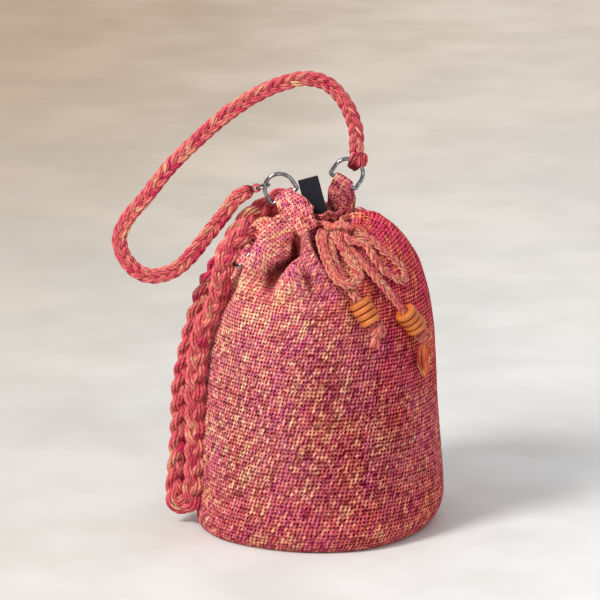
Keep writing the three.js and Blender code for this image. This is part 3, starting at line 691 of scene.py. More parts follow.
def declare(made, path, length, diameter, far_end, stiffness, lay, pieces=()):
    """Works out the stride that would thin a cord's path to a point about every 3 mm, and keeps nothing"""
    keep = max(1, int(3.0 / (length / len(path))))
    length * MM
    diameter * MM


def ring_path(middle, axis, major, count, start=0.0, sweep=360.0):
    axis = unit(axis)
    first = unit(np.cross(axis, (0.3, 0.2, 1.0) if abs(axis[2]) < 0.9 else (1.0, 0.2, 0.0)))
    a = np.radians(start + np.linspace(0, sweep, count, endpoint=sweep < 360))[:, None]
    return middle + major * (np.cos(a) * first + np.sin(a) * np.cross(axis, first))


def whipping(name, path, first, turns, radius, wire, seed):
    """Yarn wound tightly round a cord, from one sample of its path onwards"""
    side, ups = frames_along(path, FRONT)
    k = np.linspace(0, 1, turns * 14 + 1)
    run = run_along(path)
    s = run[first] + k * turns * wire * 0.95
    middle, a, b = (np.stack([np.interp(s, run, f[:, i]) for i in range(3)], -1) for f in (path, side, ups))
    turn = (k * turns * FULL_TURN)[:, None]
    coil = middle + radius * (np.cos(turn) * a + np.sin(turn) * b)
    return tube(name, coil, wire, wire, ASLANT, 7, uv_start=1000 * seed, taper=3)


# The strap: three thick strands, bound where they start, with a small eye on the side ring
STRAP_DIAMETER = 16
STRAP_PLAIT = dict(spread=5.3, rise=3.0, wide=10.6, thick=8.6, lay=58.0, yarns=7, yarn=3.6, taper=3)
strap_path, strap_length = smooth_path(STRAP_ROUTE, 2.2)
strap = join("sling_strap_plait", [
    plait("run", strap_path, lambda p: FRONT, seed=1, **STRAP_PLAIT),
    whipping("start", strap_path, first=1, turns=5, radius=6.6, wire=2.2, seed=2),
])
dress(strap, braid, "braid", "bag", "sling_strap")

# The side ring lies flat on the skin under the strap, and the two carrying rings slope up at the rim
WIRE, HALF, LEG, BEND, TILT = 2, 14.5, 9.5, 2, math.radians(33)


def ring_frame(bar, along, up):
    """A ring's place: the middle of its bar, and its directions along the bar, up the ring and across it"""
    u, m = unit(along), np.array(up, float)
    m = unit(m - u * np.dot(m, u))
    return dict(bar=np.array(bar, float), u=u, m=m, n=np.cross(u, m))


def in_ring(place, along, up):
    return place["bar"] + place["u"] * along + place["m"] * up


def on_bow(turn):
    """A point of a ring's round part, along and up"""
    return HALF * math.cos(turn), LEG + HALF * math.sin(turn)


c, s = math.cos(TILT), math.sin(TILT)
ring_left = ring_frame((-35.9, -13, RIM_HEIGHT + 15.4), (c, 0, s), (-s, 0, c))
ring_right = ring_frame((19.9, -13, RIM_HEIGHT + 30.4), (c, 0, -s), (s, 0, c))
SIDE_DEGREES, SIDE_STATION, SIDE_STAND = -137, 4.28, 8.4
side_bar = on(SIDE_DEGREES, SIDE_STATION, SIDE_STAND)
side_down = (on(SIDE_DEGREES - 2, SIDE_STATION - 0.2, SIDE_STAND)
             - on(SIDE_DEGREES + 2, SIDE_STATION + 0.2, SIDE_STAND))
ring_side = ring_frame(side_bar, side_down, on(SIDE_DEGREES - 14, SIDE_STATION, SIDE_STAND + 1) - side_bar)

STRAP_EYE = dict(spread=0.7, rise=0.4, wide=1.7, thick=1.6, lay=12.0, yarns=1, yarn=1.6, closed=True)
EYE_TURN, STRAP_EYE_MAJOR = math.radians(160), 4
side_run = in_ring(ring_side, -math.sin(EYE_TURN), math.cos(EYE_TURN)) - side_bar
eye_path = ring_path(in_ring(ring_side, *on_bow(EYE_TURN)), side_run, STRAP_EYE_MAJOR, 40)
strap_eye = plait("sling_strap_eye", eye_path, side_run, seed=4, **STRAP_EYE)
dress(strap_eye, braid, "braid", "bag")
declare(strap, strap_path, strap_length, STRAP_DIAMETER, "object", "medium", "hanging", [strap_eye])

# The drawstring: a flat three-strand plait in the bow's loops, the tails and the run round the neck
STRING = dict(spread=2.9, rise=0.9, wide=5.0, thick=3.2, lay=23.0, yarns=4, yarn=2.3)
PRESSED_STRING = dict(spread=1.5, rise=0.5, wide=3.2, thick=2.7, yarn=1.7)
STRING_DIAMETER = 6


def drawstring(name, route, seed, up=away_from_bag, **changes):
    path, length = smooth_path(route, 1.2)
    made = plait(f"{name}_plait", path, up, seed=seed, **{**STRING, **changes})
    dress(made, string, "string", "bag", name)
    return made, path, length


for name, route, seed in (("bow_loop_left", LOOP_LEFT, 5), ("bow_loop_right", LOOP_RIGHT, 6)):
    declare(*drawstring(name, route, seed), STRING_DIAMETER, "object", "limp", "loose")
declare(*drawstring("drawstring_neck", NECK_ROUTE, 7, lambda p: away_from_bag(p, 0.01), **PRESSED_STRING),
        STRING_DIAMETER, "object", "limp", "taut")

# The bow's knot: three turns of the plait round a core
BOW_KNOT = np.array([14.5, -44.6, 307.0])
KNOT_PLAIT = dict(spread=1.9, rise=0.6, wide=3.4, thick=2.6, lay=18.0, yarn=1.4, closed=True)


def ball(name, middle, radii, columns=24, rows=14):
    a = once_round(columns)[None, :]
    b = np.linspace(0.02, math.pi - 0.02, rows)[:, None]
    points = middle + np.stack([np.sin(b) * np.cos(a), np.sin(b) * np.sin(a), np.cos(b) + 0 * a], -1) * radii
    along, across = np.meshgrid(np.linspace(0, 60, rows), np.linspace(0, 1, columns + 1), indexing="ij")
    return grid_object(name, points, along, across)


turns = [ball("core", BOW_KNOT, np.array([12.0, 5.0, 3.6]))]
for k, (x, tilt, grow) in enumerate(((-8.6, -2.0, 0.86), (0.4, 1.6, 1.0), (9.0, -1.4, 0.84))):
    a = once_round(60)
    path = BOW_KNOT + np.stack([x + tilt * np.sin(a), -5.6 * grow * np.cos(a), 3.9 * grow * np.sin(a)], -1)
    turns.append(plait(f"turn_{k}", path, lambda p: (p - BOW_KNOT) * (0, 1, 1), seed=8 + k, **KNOT_PLAIT))
bow_knot = join("bow_knot_tied", turns)
dress(bow_knot, string, "string", "bag", "bow_knot")

# The two tails with their beads, stopper knots and tassels
TUFT_YARN = (1.5, 1.4)
STOPPER_PLAIT = dict(spread=1.7, rise=0.7, wide=3.4, thick=2.6, lay=17.0, yarns=4, yarn=1.6, closed=True)
rng = np.random.default_rng(7)


def turned_bead(name, middle, axis, spin):
    """A wooden disc with a rounded rim and a drilled hole"""
    half, sides, chamfer, dome_radius, dome = BEAD_THICKNESS / 2, 40, 0.5, 7.4, 0.12
    face = [(BEAD_BORE, half - chamfer), (BEAD_BORE + chamfer, half), (dome_radius, half + dome)]
    rim = [(BEAD_RADIUS - BEAD_RIM + BEAD_RIM * math.cos(a), (half - BEAD_RIM) * np.sign(a)
            + BEAD_RIM * math.sin(a)) for a in np.linspace(-math.pi / 2, math.pi / 2, 9)]
    profile = np.array([(r, -z) for r, z in face] + rim + face[::-1])
    side = unit(np.cross(axis, (0.2, 0.1, 1.0)))
    other = np.cross(axis, side)
    a = (once_round(sides) + spin)[:, None]
    points = (middle + profile[:, None, 0:1] * (np.cos(a) * side + np.sin(a) * other)
              + profile[:, None, 1:2] * axis)
    R, A = np.meshgrid(np.append(run_along(profile), 0), np.linspace(0, FULL_TURN, sides + 1) * BEAD_RADIUS,
                       indexing="ij")
    return grid_object(name, points, A + 90 * spin, R / 3 + 40 * spin, close_rows=True)


def yarn_tuft(name, start, way, long, looped, seed):
    """Loose yarn that hangs from a knot, in loops where looped is true"""
    spread, strands, turns = (8.2, 15, 1) if looped else (5.5, 22, 2.4)
    side = unit(np.cross(way, (0.1, -1.0, 0.2)))
    front = np.cross(side, way)
    made = []
    for k in range(strands):
        a = FULL_TURN * (k + rng.uniform(-0.3, 0.3)) / strands * turns
        r = spread * (0.55 + 0.45 * rng.random()) * (1 if k % 3 else 0.4)
        reach = long * rng.uniform(0.84, 1.0)
        out = math.cos(a) * side + math.sin(a) * front * 0.75
        if looped:
            t = np.linspace(0, 1, 41)[:, None]
            down = np.sin(math.pi * t) ** 0.8
            bulge = np.sin(math.pi * np.clip(down * 0.94, 0, 1) ** 0.9)
            swing = np.cos(math.pi * t) * np.sin(math.pi * t) * r * 0.5
            across = math.cos(a + 1.5) * side + math.sin(a + 1.5) * front * 0.75
            line = start + way * down * reach + out * bulge * r + across * swing
        else:
            t = np.linspace(0, 1, 15)[:, None]
            sway = side * 0.3 * np.sin(5 * t + k)
            line = start + way * t * reach + out * (0.45 * r + 0.55 * r * t**0.8) + sway
        made.append(tube(f"{name}_{k}", line, *TUFT_YARN, ASLANT, YARN_SIDES,
                         uv_start=1000 * seed + 97 * k, taper=2))
    return join(name, made)


def trefoil(name, middle, radius, seed):
    """A stopper knot: a plait tied in a trefoil round a core"""
    a = once_round(150)
    line = np.stack([np.sin(a) + 2 * np.sin(2 * a), np.cos(a) - 2 * np.cos(2 * a), -1.15 * np.sin(3 * a)], -1)
    path = middle + line * (radius - 1.2) / 3.0 * np.array([1.1, 0.8, 1.5])
    knot = plait(f"{name}_turns", path, lambda p: p - middle, seed=seed, **STOPPER_PLAIT)
    return join(name, [ball("core", middle, np.full(3, radius) * 0.62), knot])


def make_tail(number, side, start, top, foot, hang, lead):
    foot = on(*foot)
    run = unit(foot - on(*top))

    def above(distance):
        return foot - run * distance

    straight = BEAD_PITCH * (BEADS_IN_STACK - 1) + BEAD_THICKNESS + BEAD_TRAVEL
    route = xyz(start, *lead) + [above(d) for d in (straight + 2, straight - 1, straight / 2, -1)]
    tail, path, length = drawstring(f"drawstring_tail_{side}", route, 20 + number)
    parts = []
    for i in range(BEADS_IN_STACK):
        middle = above(BEAD_THICKNESS / 2 + BEAD_PITCH * (BEADS_IN_STACK - 1 - i))
        bead = turned_bead(f"bead_{side}_{i + 1}_turned", middle, run, rng.uniform(0, 6))
        parts.append(dress(bead, wood, "bead_wood", f"{side}_beads", f"bead_{side}_{i + 1}"))
    knot_middle = above(-1.3 - KNOT_RADIUS)
    knot = trefoil(f"tail_knot_{side}_tied", knot_middle, KNOT_RADIUS, 24 + number)
    parts.append(dress(knot, string, "string", "bag", f"tail_knot_{side}"))
    # The tassel starts inside the knot
    sunk, looped, way = 2.5, side == "right", unit(hang)
    tuft = yarn_tuft(f"tassel_{side}_yarn", knot_middle + way * (KNOT_RADIUS - sunk), way,
                     np.linalg.norm(hang) + sunk, looped, 30 + number)
    parts.append(dress(tuft, tassel if looped else string, "string", "bag", f"tassel_{side}"))
    declare(tail, path, length, STRING_DIAMETER, "knot", "limp", "hanging", parts)


for number, (side, stack) in enumerate(STACKS.items()):
    make_tail(number, side, **stack)


# The metal rings: bent wire whose ends meet at a small gap in the bar
WIRE_GAP = (4.6, 5.0)


def d_outline(place):
    def corner(x, first, last):
        turns = np.radians(np.linspace(first, last, 4))
        return [(x + BEND * math.cos(a), BEND + BEND * math.sin(a)) for a in turns]

    points = [(x, 0.0) for x in np.linspace(WIRE_GAP[1], HALF - BEND, 8)] + corner(HALF - BEND, -75, -15)
    points += [(HALF, y) for y in np.linspace(BEND, LEG, 6)]
    points += [on_bow(a) for a in np.radians(np.linspace(0, 180, 41))[1:]]
    points += [(-HALF, y) for y in np.linspace(LEG, BEND, 6)[1:]] + corner(-HALF + BEND, -165, -105)
    points += [(x, 0.0) for x in np.linspace(-HALF + BEND, WIRE_GAP[0], 12)]
    return np.array([in_ring(place, a, b) for a, b in points])


for name, place, body in (("d_ring_left", ring_left, "left_ring"), ("d_ring_right", ring_right, "right_ring"),
                          ("d_ring_side", ring_side, "bag")):
    ring = tube(f"{name}_wire", d_outline(place), 2 * WIRE, 2 * WIRE, place["n"], 20)
    dress(ring, metal, "ring_metal", body, name)

# The handle: a firm plait with an eye on the right ring and a jump ring at the left one
JUMP_MAJOR, JUMP_WIRE, YARN_MAJOR, YARN_TUBE, SWING_ROOM, EYE_MAJOR = 6.4, 1.2, 3.4, 1.4, 1.3, 7.6
FIVE_STRANDS = dict(strands=5, yarns=5)
HANDLE_PLAIT = dict(spread=4.5, rise=2.8, wide=6.4, thick=6.2, lay=52.0, yarn=2.8, **FIVE_STRANDS)
EYE_PLAIT = dict(spread=5.8, rise=1.4, wide=6.8, thick=5.0, lay=48.0, yarn=2.2, closed=True, **FIVE_STRANDS)
LOOP_PLAIT = dict(spread=0.4, rise=0.2, wide=3.0, thick=2.4, lay=14.0, yarns=2, yarn=1.9, closed=True)
GRIP_TURN = math.radians(137)
pull = unit([-0.968, 0, -0.25])
link_axis = in_ring(ring_left, -math.sin(GRIP_TURN), math.cos(GRIP_TURN)) - ring_left["bar"]
link_axis = unit(link_axis - pull * np.dot(link_axis, pull))
link_middle = in_ring(ring_left, *on_bow(GRIP_TURN)) + pull * (JUMP_MAJOR - JUMP_WIRE - WIRE - SWING_ROOM)
loop_middle = link_middle + pull * (JUMP_MAJOR - JUMP_WIRE - YARN_TUBE - 0.5 + YARN_MAJOR)
jump_path = ring_path(link_middle, link_axis, JUMP_MAJOR, 60, 200, 352)
jump = tube("handle_jump_ring_wire", jump_path, 2 * JUMP_WIRE, 2 * JUMP_WIRE, link_axis, 16)
dress(jump, metal, "ring_metal", "handle", "handle_jump_ring")

eye_middle = in_ring(ring_right, 0, LEG + HALF)
HANDLE_ROUTE = [loop_middle + pull * YARN_MAJOR] + [np.array([x, y, RIM_HEIGHT + z], float) for x, y, z in (
    (-75, -14, 19), (-84, -16, 13), (-96, -19, -3), (-111.5, -23, -21), (-125, -27, -38), (-141, -31, -52.5),
    (-160, -33, -59), (-177, -34, -55.5), (-191, -34, -41), (-196, -33, -23.5), (-189, -31, -4),
    (-170, -29, 18.5), (-146, -26, 48.5), (-118, -23, 76), (-94, -21, 97), (-68, -19, 114.5),
    (-42, -17, 126.5), (-16, -15, 132.5), (6.5, -14, 126), (23.5, -13.5, 106), (32.3, -13, 82.5),
    (33.2, -13, 66),
)] + [eye_middle + np.array([0, 0, EYE_MAJOR])]
handle_path, _ = smooth_path(HANDLE_ROUTE, 1.6)
handle_eye = ring_path(eye_middle, ring_right["u"], EYE_MAJOR, 70)
loop_path = ring_path(loop_middle, np.cross(pull, link_axis), YARN_MAJOR, 36)
# The eye is narrower where it passes inside the ring, and the handle where it leaves its loop
under = -(handle_eye - eye_middle) @ ring_right["m"] / EYE_MAJOR
eye_fullness = 1 - 0.42 * smooth((under + 0.3) / 0.8)
handle_fullness = 0.6 + 0.4 * smooth(np.arange(len(handle_path)) / 5)
handle = join("handle_cord_plait", [
    plait("run", handle_path, lambda p: FRONT, seed=40, fullness=handle_fullness, **HANDLE_PLAIT),
    plait("eye", handle_eye, lambda p: p - eye_middle, seed=41, fullness=eye_fullness, **EYE_PLAIT),
    plait("loop", loop_path, lambda p: p - loop_middle, seed=42, **LOOP_PLAIT),
])
dress(handle, braid, "braid", "handle", "handle_cord")


# Tabs and label: flat bands that are folded over; the section is a soft-edged rectangle
def folded_band(name, place, foot, widths, thicks, fold, foot_half, skirt=(), scale=(3.6, 3.5), rounded=0.35):
    """A band over a bar; widths and thicks are given at the bar, half way down and at its two feet

    fold and foot_half are half its depth at the bar and at its feet; skirt has points below its far foot
    """
    reach = foot - place["bar"]
    drift = float(np.dot(reach, place["u"]))
    down = reach - place["u"] * drift
    long = np.linalg.norm(down)
    up = -down / long
    across = np.cross(up, place["u"])
    arc = [(fold * math.cos(a), fold * math.sin(a)) for a in np.linspace(-0.15, math.pi + 0.15, 25)]
    leg = [(fold * 0.98 + (foot_half - fold * 0.98) * k**0.7, -0.6 - (long - 0.6) * k)
           for k in np.linspace(1, 0, 22)]
    line = leg + arc + [(-a, b) for a, b in leg[::-1]]
    if skirt:
        below = line[-2:] + [(-foot_half - a, -long - b) for a, b in skirt]
        bend, _ = smooth_path([(a, b, 0) for a, b in below], 1.0)
        line = line[:-2] + [tuple(p[:2]) for p in bend]
    line = np.array(line)
    ahead = unit(np.gradient(line, axis=0))
    normal = np.stack([ahead[:, 1], -ahead[:, 0]], -1)
    share = np.clip(-line[:, 1] / long, 0, 1.0)
    width, thick = (np.interp(share, (0, 0.5, 1), sizes) for sizes in (widths, thicks))
    if skirt:
        width *= 1 - 0.2 * smooth((-line[:, 1] / long - 1.0) / 0.5)
    turn = once_round(36)
    cx = np.sign(np.cos(turn)) * np.abs(np.cos(turn)) ** rounded / 2
    cy = np.sign(np.sin(turn)) * np.abs(np.sin(turn)) ** (rounded + 0.25) / 2
    x = cx * width[:, None] + (drift * share)[:, None]
    flat = line[:, None, :] + normal[:, None, :] * (cy * thick[:, None])[..., None]
    points = place["bar"] + place["u"] * x[..., None] + across * flat[..., 0:1] + up * flat[..., 1:2]
    ends = [points[k].mean(0) + (points[k] - points[k].mean(0)) * 0.02 for k in (0, -1)]
    points = np.concatenate([ends[:1], points, ends[1:]])
    run = run_along(line)
    run = np.concatenate([[0], run, run[-1:]])
    around = run_along(np.stack([cx * widths[1], cy * thicks[1]], -1))
    around = np.append(around, around[-1] + 1)
    V, U = np.meshgrid(run / scale[1], around / scale[0], indexing="ij")
    return grid_object(name, points, U, V)


RIM_MIDDLE, TAB_FOOT_HEIGHT, TAB_FOLD = 26.5, RIM_HEIGHT + 0.3, 3.9
TABS = (
    ("ring_tab_left", ring_left, -125, (20, 29, 29), (3.4, 9.5, 10), 3.8,
     ((0.5, 1), (4.5, 6), (6.5, 13), (5, 22))),
    ("ring_tab_right", ring_right, 26, (19.5, 29, 28), (3.4, 9.5, 10), 4.4,
     ((0.5, 1), (2.5, 5), (2.5, 10), (1, 14))),
)
for name, place, degrees, widths, thicks, foot_half, skirt in TABS:
    foot = np.array(round_neck(RIM_MIDDLE, degrees, TAB_FOOT_HEIGHT))
    tab = folded_band(f"{name}_folded", place, foot, widths, thicks, TAB_FOLD, foot_half, skirt, rounded=0.75)
    dress(tab, tab_crochet, "crochet", "bag", name)
side_foot = on(SIDE_DEGREES + 9, SIDE_STATION - 0.08, SIDE_STAND)
tab = folded_band("ring_tab_side_folded", {**ring_side, "bar": in_ring(ring_side, 6, 0)}, side_foot,
                  (9.2,) * 3, (3,) * 3, fold=3.8, foot_half=1.75)
dress(tab, tab_crochet, "crochet", "bag", "ring_tab_side")

LABEL_FOOT, LABEL_HEAD = np.array([-1, -16.5, RIM_HEIGHT - 15.0]), np.array([-13.6, -11.6, RIM_HEIGHT + 32.4])
LABEL_LENGTH, LABEL_WIDTH, LABEL_THICKNESS = 49.6, 20.0, 0.72
label_up = unit(LABEL_HEAD - LABEL_FOOT)
label_side = unit(np.array([1.0, 0, 0]) - label_up * label_up[0])
label = folded_band("label_tape", dict(bar=LABEL_FOOT + label_up * LABEL_LENGTH, u=label_side), LABEL_FOOT,
                    (LABEL_WIDTH,) * 3, (LABEL_THICKNESS,) * 3, fold=0.42, foot_half=0.4, scale=(1.0, 1.0),
                    rounded=0.12)
dress(label, tape, "tape", "bag", "label")

# The bag's skin: gathered cloth with a real relief of stitches, in three bands from the floor to the rim
STITCHES, SECTORS, STITCH_RISE, SLANT, WALL = 189, 9, 3.75, 0.24, 3.0
COLUMNS = STITCHES * 3
PER_SECTOR = COLUMNS // SECTORS
SHOULDER_STITCH = FULL_TURN * 106 / STITCHES
PLEAT_HEIGHT, NECK_PLEATS, NECK_DEPTH = 2.2, 11, 3.6
# The cloth's foot swells over the seam: degrees and how far
FOOT_SWELL = np.array([(-180, 5), (-160, 8), (-143, 9), (-120, 5.5), (-95, 5.5), (-70, 6), (-55, 3), (-38, 0),
                       (10, 0), (60, 3), (120, 4), (180, 5)], float)


def drape(*rows):
    """A drape's rows from the top down: station, degrees, height, half width to its left and right, and lean

    Where the right half width isn't given, it is the left one, and the lean is then 0
    """
    full = [r + r[3:4] if len(r) == 4 else r for r in rows]
    return np.array([(r + (0,))[:6] for r in full], float)[::-1]


DRAPES = [
    drape((7.2, -128, 0, 9, 8), (6.4, -129, 5, 9, 8), (5.8, -131, 13, 11, 8, 3), (5.3, -132, 21, 13, 9, 7),
          (4.9, -129, 24, 13, 8, 8), (4.6, -126, 25, 13, 7, 11), (4.28, -125, 25, 13, 7, 13),
          (3.9, -129, 19, 15, 8, 10), (3.5, -136, 9, 19, 12, 4), (3.0, -142, 0, 24, 18)),
    drape((7.2, -116, 0, 8), (6.4, -114, 5, 8), (5.7, -110, 12, 7, 8, -1), (5.1, -104.5, 16, 6.5, 8, -2),
          (4.7, -99, 15, 7, 9, -2), (4.28, -91, 12, 8, 10, -2), (3.9, -84, 8, 10, 12, -1), (3.5, -78, 4, 14),
          (3.0, -76, 0, 18, 15)),
    drape((4.75, -110, 0, 8), (4.45, -107.5, 9, 9), (4.2, -108, 12, 11, 10), (3.8, -111, 9, 15, 13),
          (3.3, -114, 0, 18, 16)),
    drape((5.6, -114, 0, 4), (5.2, -112, -9, 4), (4.8, -110.5, -17, 4.5), (4.5, -114.5, -16, 4.5),
          (4.1, -121.5, -12, 5, 4.5), (3.7, -127, 0, 7, 6)),
    drape((6.0, -103, 0, 4), (5.5, -99, -7, 4), (5.1, -94.5, -8, 4), (4.7, -88, -7, 4.5), (4.3, -80, -4, 6),
          (3.9, -74, 0, 7)),
    drape((6.6, 8, 0, 9), (6.0, 6, 5, 9), (5.2, 2, 5, 10), (4.5, -3, 3, 12), (3.6, -6, 0, 14)),
    drape((5.6, -170, 0, 9), (5.0, -168, 6, 10), (4.3, -166, 5, 12), (3.6, -165, 0, 15)),
    drape((4.9, -4, 0, 45, 50), (4.4, -4, 4, 45, 50), (3.9, -4, 6, 50, 55), (3.4, -4, 5, 55, 60),
          (2.6, -4, 1, 60), (2.0, -4, 0, 60)),
    drape((3.5, -172, 0, 40), (3.0, -172, 3.5, 40), (2.4, -172, 5, 40), (1.8, -172, 4.5, 40),
          (1.2, -172, 2, 40), (0.8, -172, 0, 40)),
    drape((4.7, -78, 0, 12), (4.3, -77, -2.2, 13), (3.9, -74, -2.6, 14), (3.3, -66, -2, 14),
          (3.0, -63, 0, 14)),
]


def draped(degrees, t):
    """How far the cloth stands off the plain body, and how far it leans to the left"""
    a = np.radians(degrees)
    soft = 0.7 * np.sin(3 * a + 1.3 * t + 0.6) * np.sin(1.9 * t + 0.4) + 0.5 * np.sin(7 * a - 2.1 * t)
    rise = soft * smooth(t / 1.2) * (1 - smooth((t - 5) / 0.8))
    gathered = smooth((t - 4.2) / 0.9) * (1 - 0.6 * smooth((t - 5.6) / 0.6))
    rise = rise + PLEAT_HEIGHT * gathered * (1 - 2 * np.abs(np.sin(a * 4.5)) ** 0.8)
    neck = smooth((t - 5.5) / 0.5)
    rise = rise - NECK_DEPTH * neck * (0.5 + 0.5 * np.cos(NECK_PLEATS * a + 0.9 * np.sin(2 * a + 0.5)))
    lean = np.zeros_like(rise)
    for rows in DRAPES:
        middle, high, left, right, over = (np.interp(t, rows[:, 0], rows[:, k]) for k in range(1, 6))
        inside = (t >= rows[0, 0]) & (t <= rows[-1, 0])
        away = turn_from(middle, degrees) * size_at(t, "radius")
        bell = np.exp(-np.abs(away / np.where(away < 0, left, right)) ** 2.2) * inside
        rise = rise + high * bell
        lean = lean + over * bell
    return rise, lean


def cloth(degrees, t, stand=0.0):
    """A place on the draped skin, whose gathers and drapes lie on the plain body and may lean to the left"""
    degrees, t, stand = np.broadcast_arrays(degrees, t, stand)
    a = np.radians(degrees)
    rise, lean = draped(degrees, t)
    p = plain_body(degrees, t)
    inset = drawn_in(p[..., 2], a)
    p = p + outwards(degrees, t) * (rise + stand)[..., None]
    swell = np.interp((degrees + 540) % 360 - 180, FOOT_SWELL[:, 0], FOOT_SWELL[:, 1])
    inset = inset - swell * (1 - smooth(p[..., 2] / 48))
    shift = np.stack([np.sin(a), -np.cos(a), 0 * a], -1) * lean[..., None]
    ruffle = 1.4 * np.sin(5 * a + 1.0) * smooth((t - 6.3) / 0.7)
    return p + shift - np.stack([inset * np.cos(a), inset * np.sin(a), -ruffle], -1)


fine_t = np.linspace(0, RIM_STATION, 1401)
meridian_run = run_along(on(40.0, fine_t))
ROWS = int(meridian_run[-1] / STITCH_RISE * 3)
row_t = np.interp(np.linspace(0, meridian_run[-1], ROWS + 1), meridian_run, fine_t)
row_v = np.arange(ROWS + 1) / 3.0
column_degrees = np.arange(COLUMNS) * 360.0 / COLUMNS + 20.0
T, D = np.meshgrid(row_t, column_degrees, indexing="ij")


def sector_stitches(points, t):
    """Stitches round the skin at each column of each sector: folds use up the cloth between the seams"""
    steps = np.linalg.norm(np.roll(points, -1, 1) - points, axis=2).reshape(len(points), SECTORS, PER_SECTOR)
    arc = np.concatenate([np.zeros((len(points), SECTORS, 1)), np.cumsum(steps, 2)], 2)
    arc -= arc[..., PER_SECTOR // 2:PER_SECTOR // 2 + 2].mean(-1, keepdims=True)
    plain = (np.arange(PER_SECTOR + 1) - PER_SECTOR / 2) / 3.0
    share = smooth((t - 3.0) / 0.4)[:, None, None]
    middle = (np.arange(SECTORS)[None, :, None] + 0.5) * PER_SECTOR / 3.0
    round_way = middle + plain * (1 - share) + arc / SHOULDER_STITCH * share
    return round_way - row_v[:, None, None] * SLANT, steps.reshape(len(points), -1)


stitches, widths = sector_stitches(cloth(D, T), row_t)
U = stitches[..., :-1].reshape(len(row_t), COLUMNS)
du, dv = U - np.round(U), (row_v - np.round(row_v))[:, None]
far = np.sqrt(11 * du**2 + 13 * dv**2)
hole = (1 - smooth((far - 0.42) / 0.6)) * (1 - smooth((widths - 1.4) / 0.8))
relief = -0.9 * hole - 0.2 * np.exp(-(dv / 0.2) ** 2) + rng.normal(0, 0.07, T.shape)
skin = cloth(D, T, relief)
skin[..., 2] = np.maximum(skin[..., 2], 0.0)
skin[0, :, 2] = 0.0
# The rim turns over in a soft edge, and the cloth's other face goes down inside
roll = np.radians(np.linspace(20, 160, 6))
outer, inner = (cloth(column_degrees, float(RIM_STATION), stand) for stand in (0.0, -WALL))
middle = (outer + inner) / 2
skin = np.concatenate([skin, [middle + (outer - middle) * math.cos(a) + np.array([0, 0, 1.3 * math.sin(a)])
                              for a in roll]])
stitches = np.concatenate([stitches, np.repeat(stitches[-1:], len(roll), 0)])
band_v = np.concatenate([row_v, row_v[-1] + np.arange(1, len(roll) + 1) / 5.0])


def hollows(rise, reach):
    """0 on open cloth and 1 deep in a crease: how far a place lies below the cloth on both sides of it"""
    left, right = np.roll(rise, reach, 1), np.roll(rise, -reach, 1)
    return smooth((np.minimum(left, right) - rise - 1.5) / 9)


skin_rise = draped(D, T)[0]
# Painted shade in the skin's creases: how deep each place lies between the cloth on both sides
crease_shade = np.maximum.reduce([hollows(skin_rise, reach) for reach in (5, 9, 15)])
crease_shade = np.concatenate([crease_shade, np.repeat(crease_shade[-1:], len(roll), 0)])


def skin_band(name, low, high):
    rows = slice(low, high + 1)
    quads, _ = grid_faces(high - low + 1, COLUMNS, close_columns=True)
    left, right = (stitches[rows, :, k:PER_SECTOR + k].reshape(-1, COLUMNS) for k in (0, 1))
    v = np.broadcast_to(band_v[rows, None], left.shape)
    corners = np.stack([np.stack(pair, -1) for pair in (
        (left[:-1], v[:-1]), (right[:-1], v[:-1]), (right[1:], v[1:]), (left[1:], v[1:]))], -2)
    made = mesh_from(name, skin[rows].reshape(-1, 3), quads, corners.reshape(-1, 2), fold=crease_shade[rows])
    return dress(made, crochet, "crochet", "bag", "bag_wall")


TOP_ROW = len(skin) - 1
skin_band("bag_wall_low", 0, TOP_ROW // 3)
skin_band("bag_wall_middle", TOP_ROW // 3, 2 * TOP_ROW // 3)
skin_band("bag_wall_top", 2 * TOP_ROW // 3, TOP_ROW)

inside_t = np.linspace(RIM_STATION, 0.05, 90)
T, D = np.meshgrid(inside_t, np.arange(STITCHES) * 360.0 / STITCHES, indexing="ij")
inside_v = np.interp(inside_t, fine_t, meridian_run) / STITCH_RISE
V, U = np.meshgrid(inside_v, np.arange(STITCHES + 1), indexing="ij")
dress(grid_object("bag_wall_inside", cloth(D, T, -WALL), U, V), crochet, "crochet", "bag", "bag_wall")

# The base: a crocheted disc worked in rounds, the stiff board and the sewn lining
CENTRE = 0.004
DISC_RADIUS, ROUND_STITCH = 112, 3.6


def worked_disc(name, low, high, stand):
    """Rounds of stitches on the under side, and a plain upper side"""
    sides, rounds, top_rings = 180, 34, 12
    edge = on(np.arange(sides) * 360.0 / sides, 0.0, stand)
    radii = np.concatenate([np.linspace(CENTRE, 1, rounds), [1.0], np.linspace(1, CENTRE, top_rings)])
    heights = np.concatenate([np.full(rounds, low), [high], np.full(top_rings, high)])
    ripple = np.zeros(len(radii))
    ripple[1:rounds - 1] = 0.25 * np.cos(np.arange(1, rounds - 1) * math.pi)
    points = radii[:, None, None] * edge
    points[..., 2] = np.clip((heights + ripple)[:, None], low, high)
    uvs = []
    for i in range(len(radii) - 1):
        count = max(6, round(FULL_TURN * DISC_RADIUS * max(radii[i], radii[i + 1]) / ROUND_STITCH))
        a = np.arange(sides + 1) / sides * count
        uvs.append(np.stack([np.stack([a[j:sides + j], np.full(sides, i + k)], -1)
                             for j, k in ((0, 0), (1, 0), (1, 1), (0, 1))], -2))
    quads, _ = grid_faces(len(radii), sides, close_columns=True)
    return mesh_from(name, points.reshape(-1, 3), quads[:, ::-1], np.array(uvs)[:, :, ::-1].reshape(-1, 2))


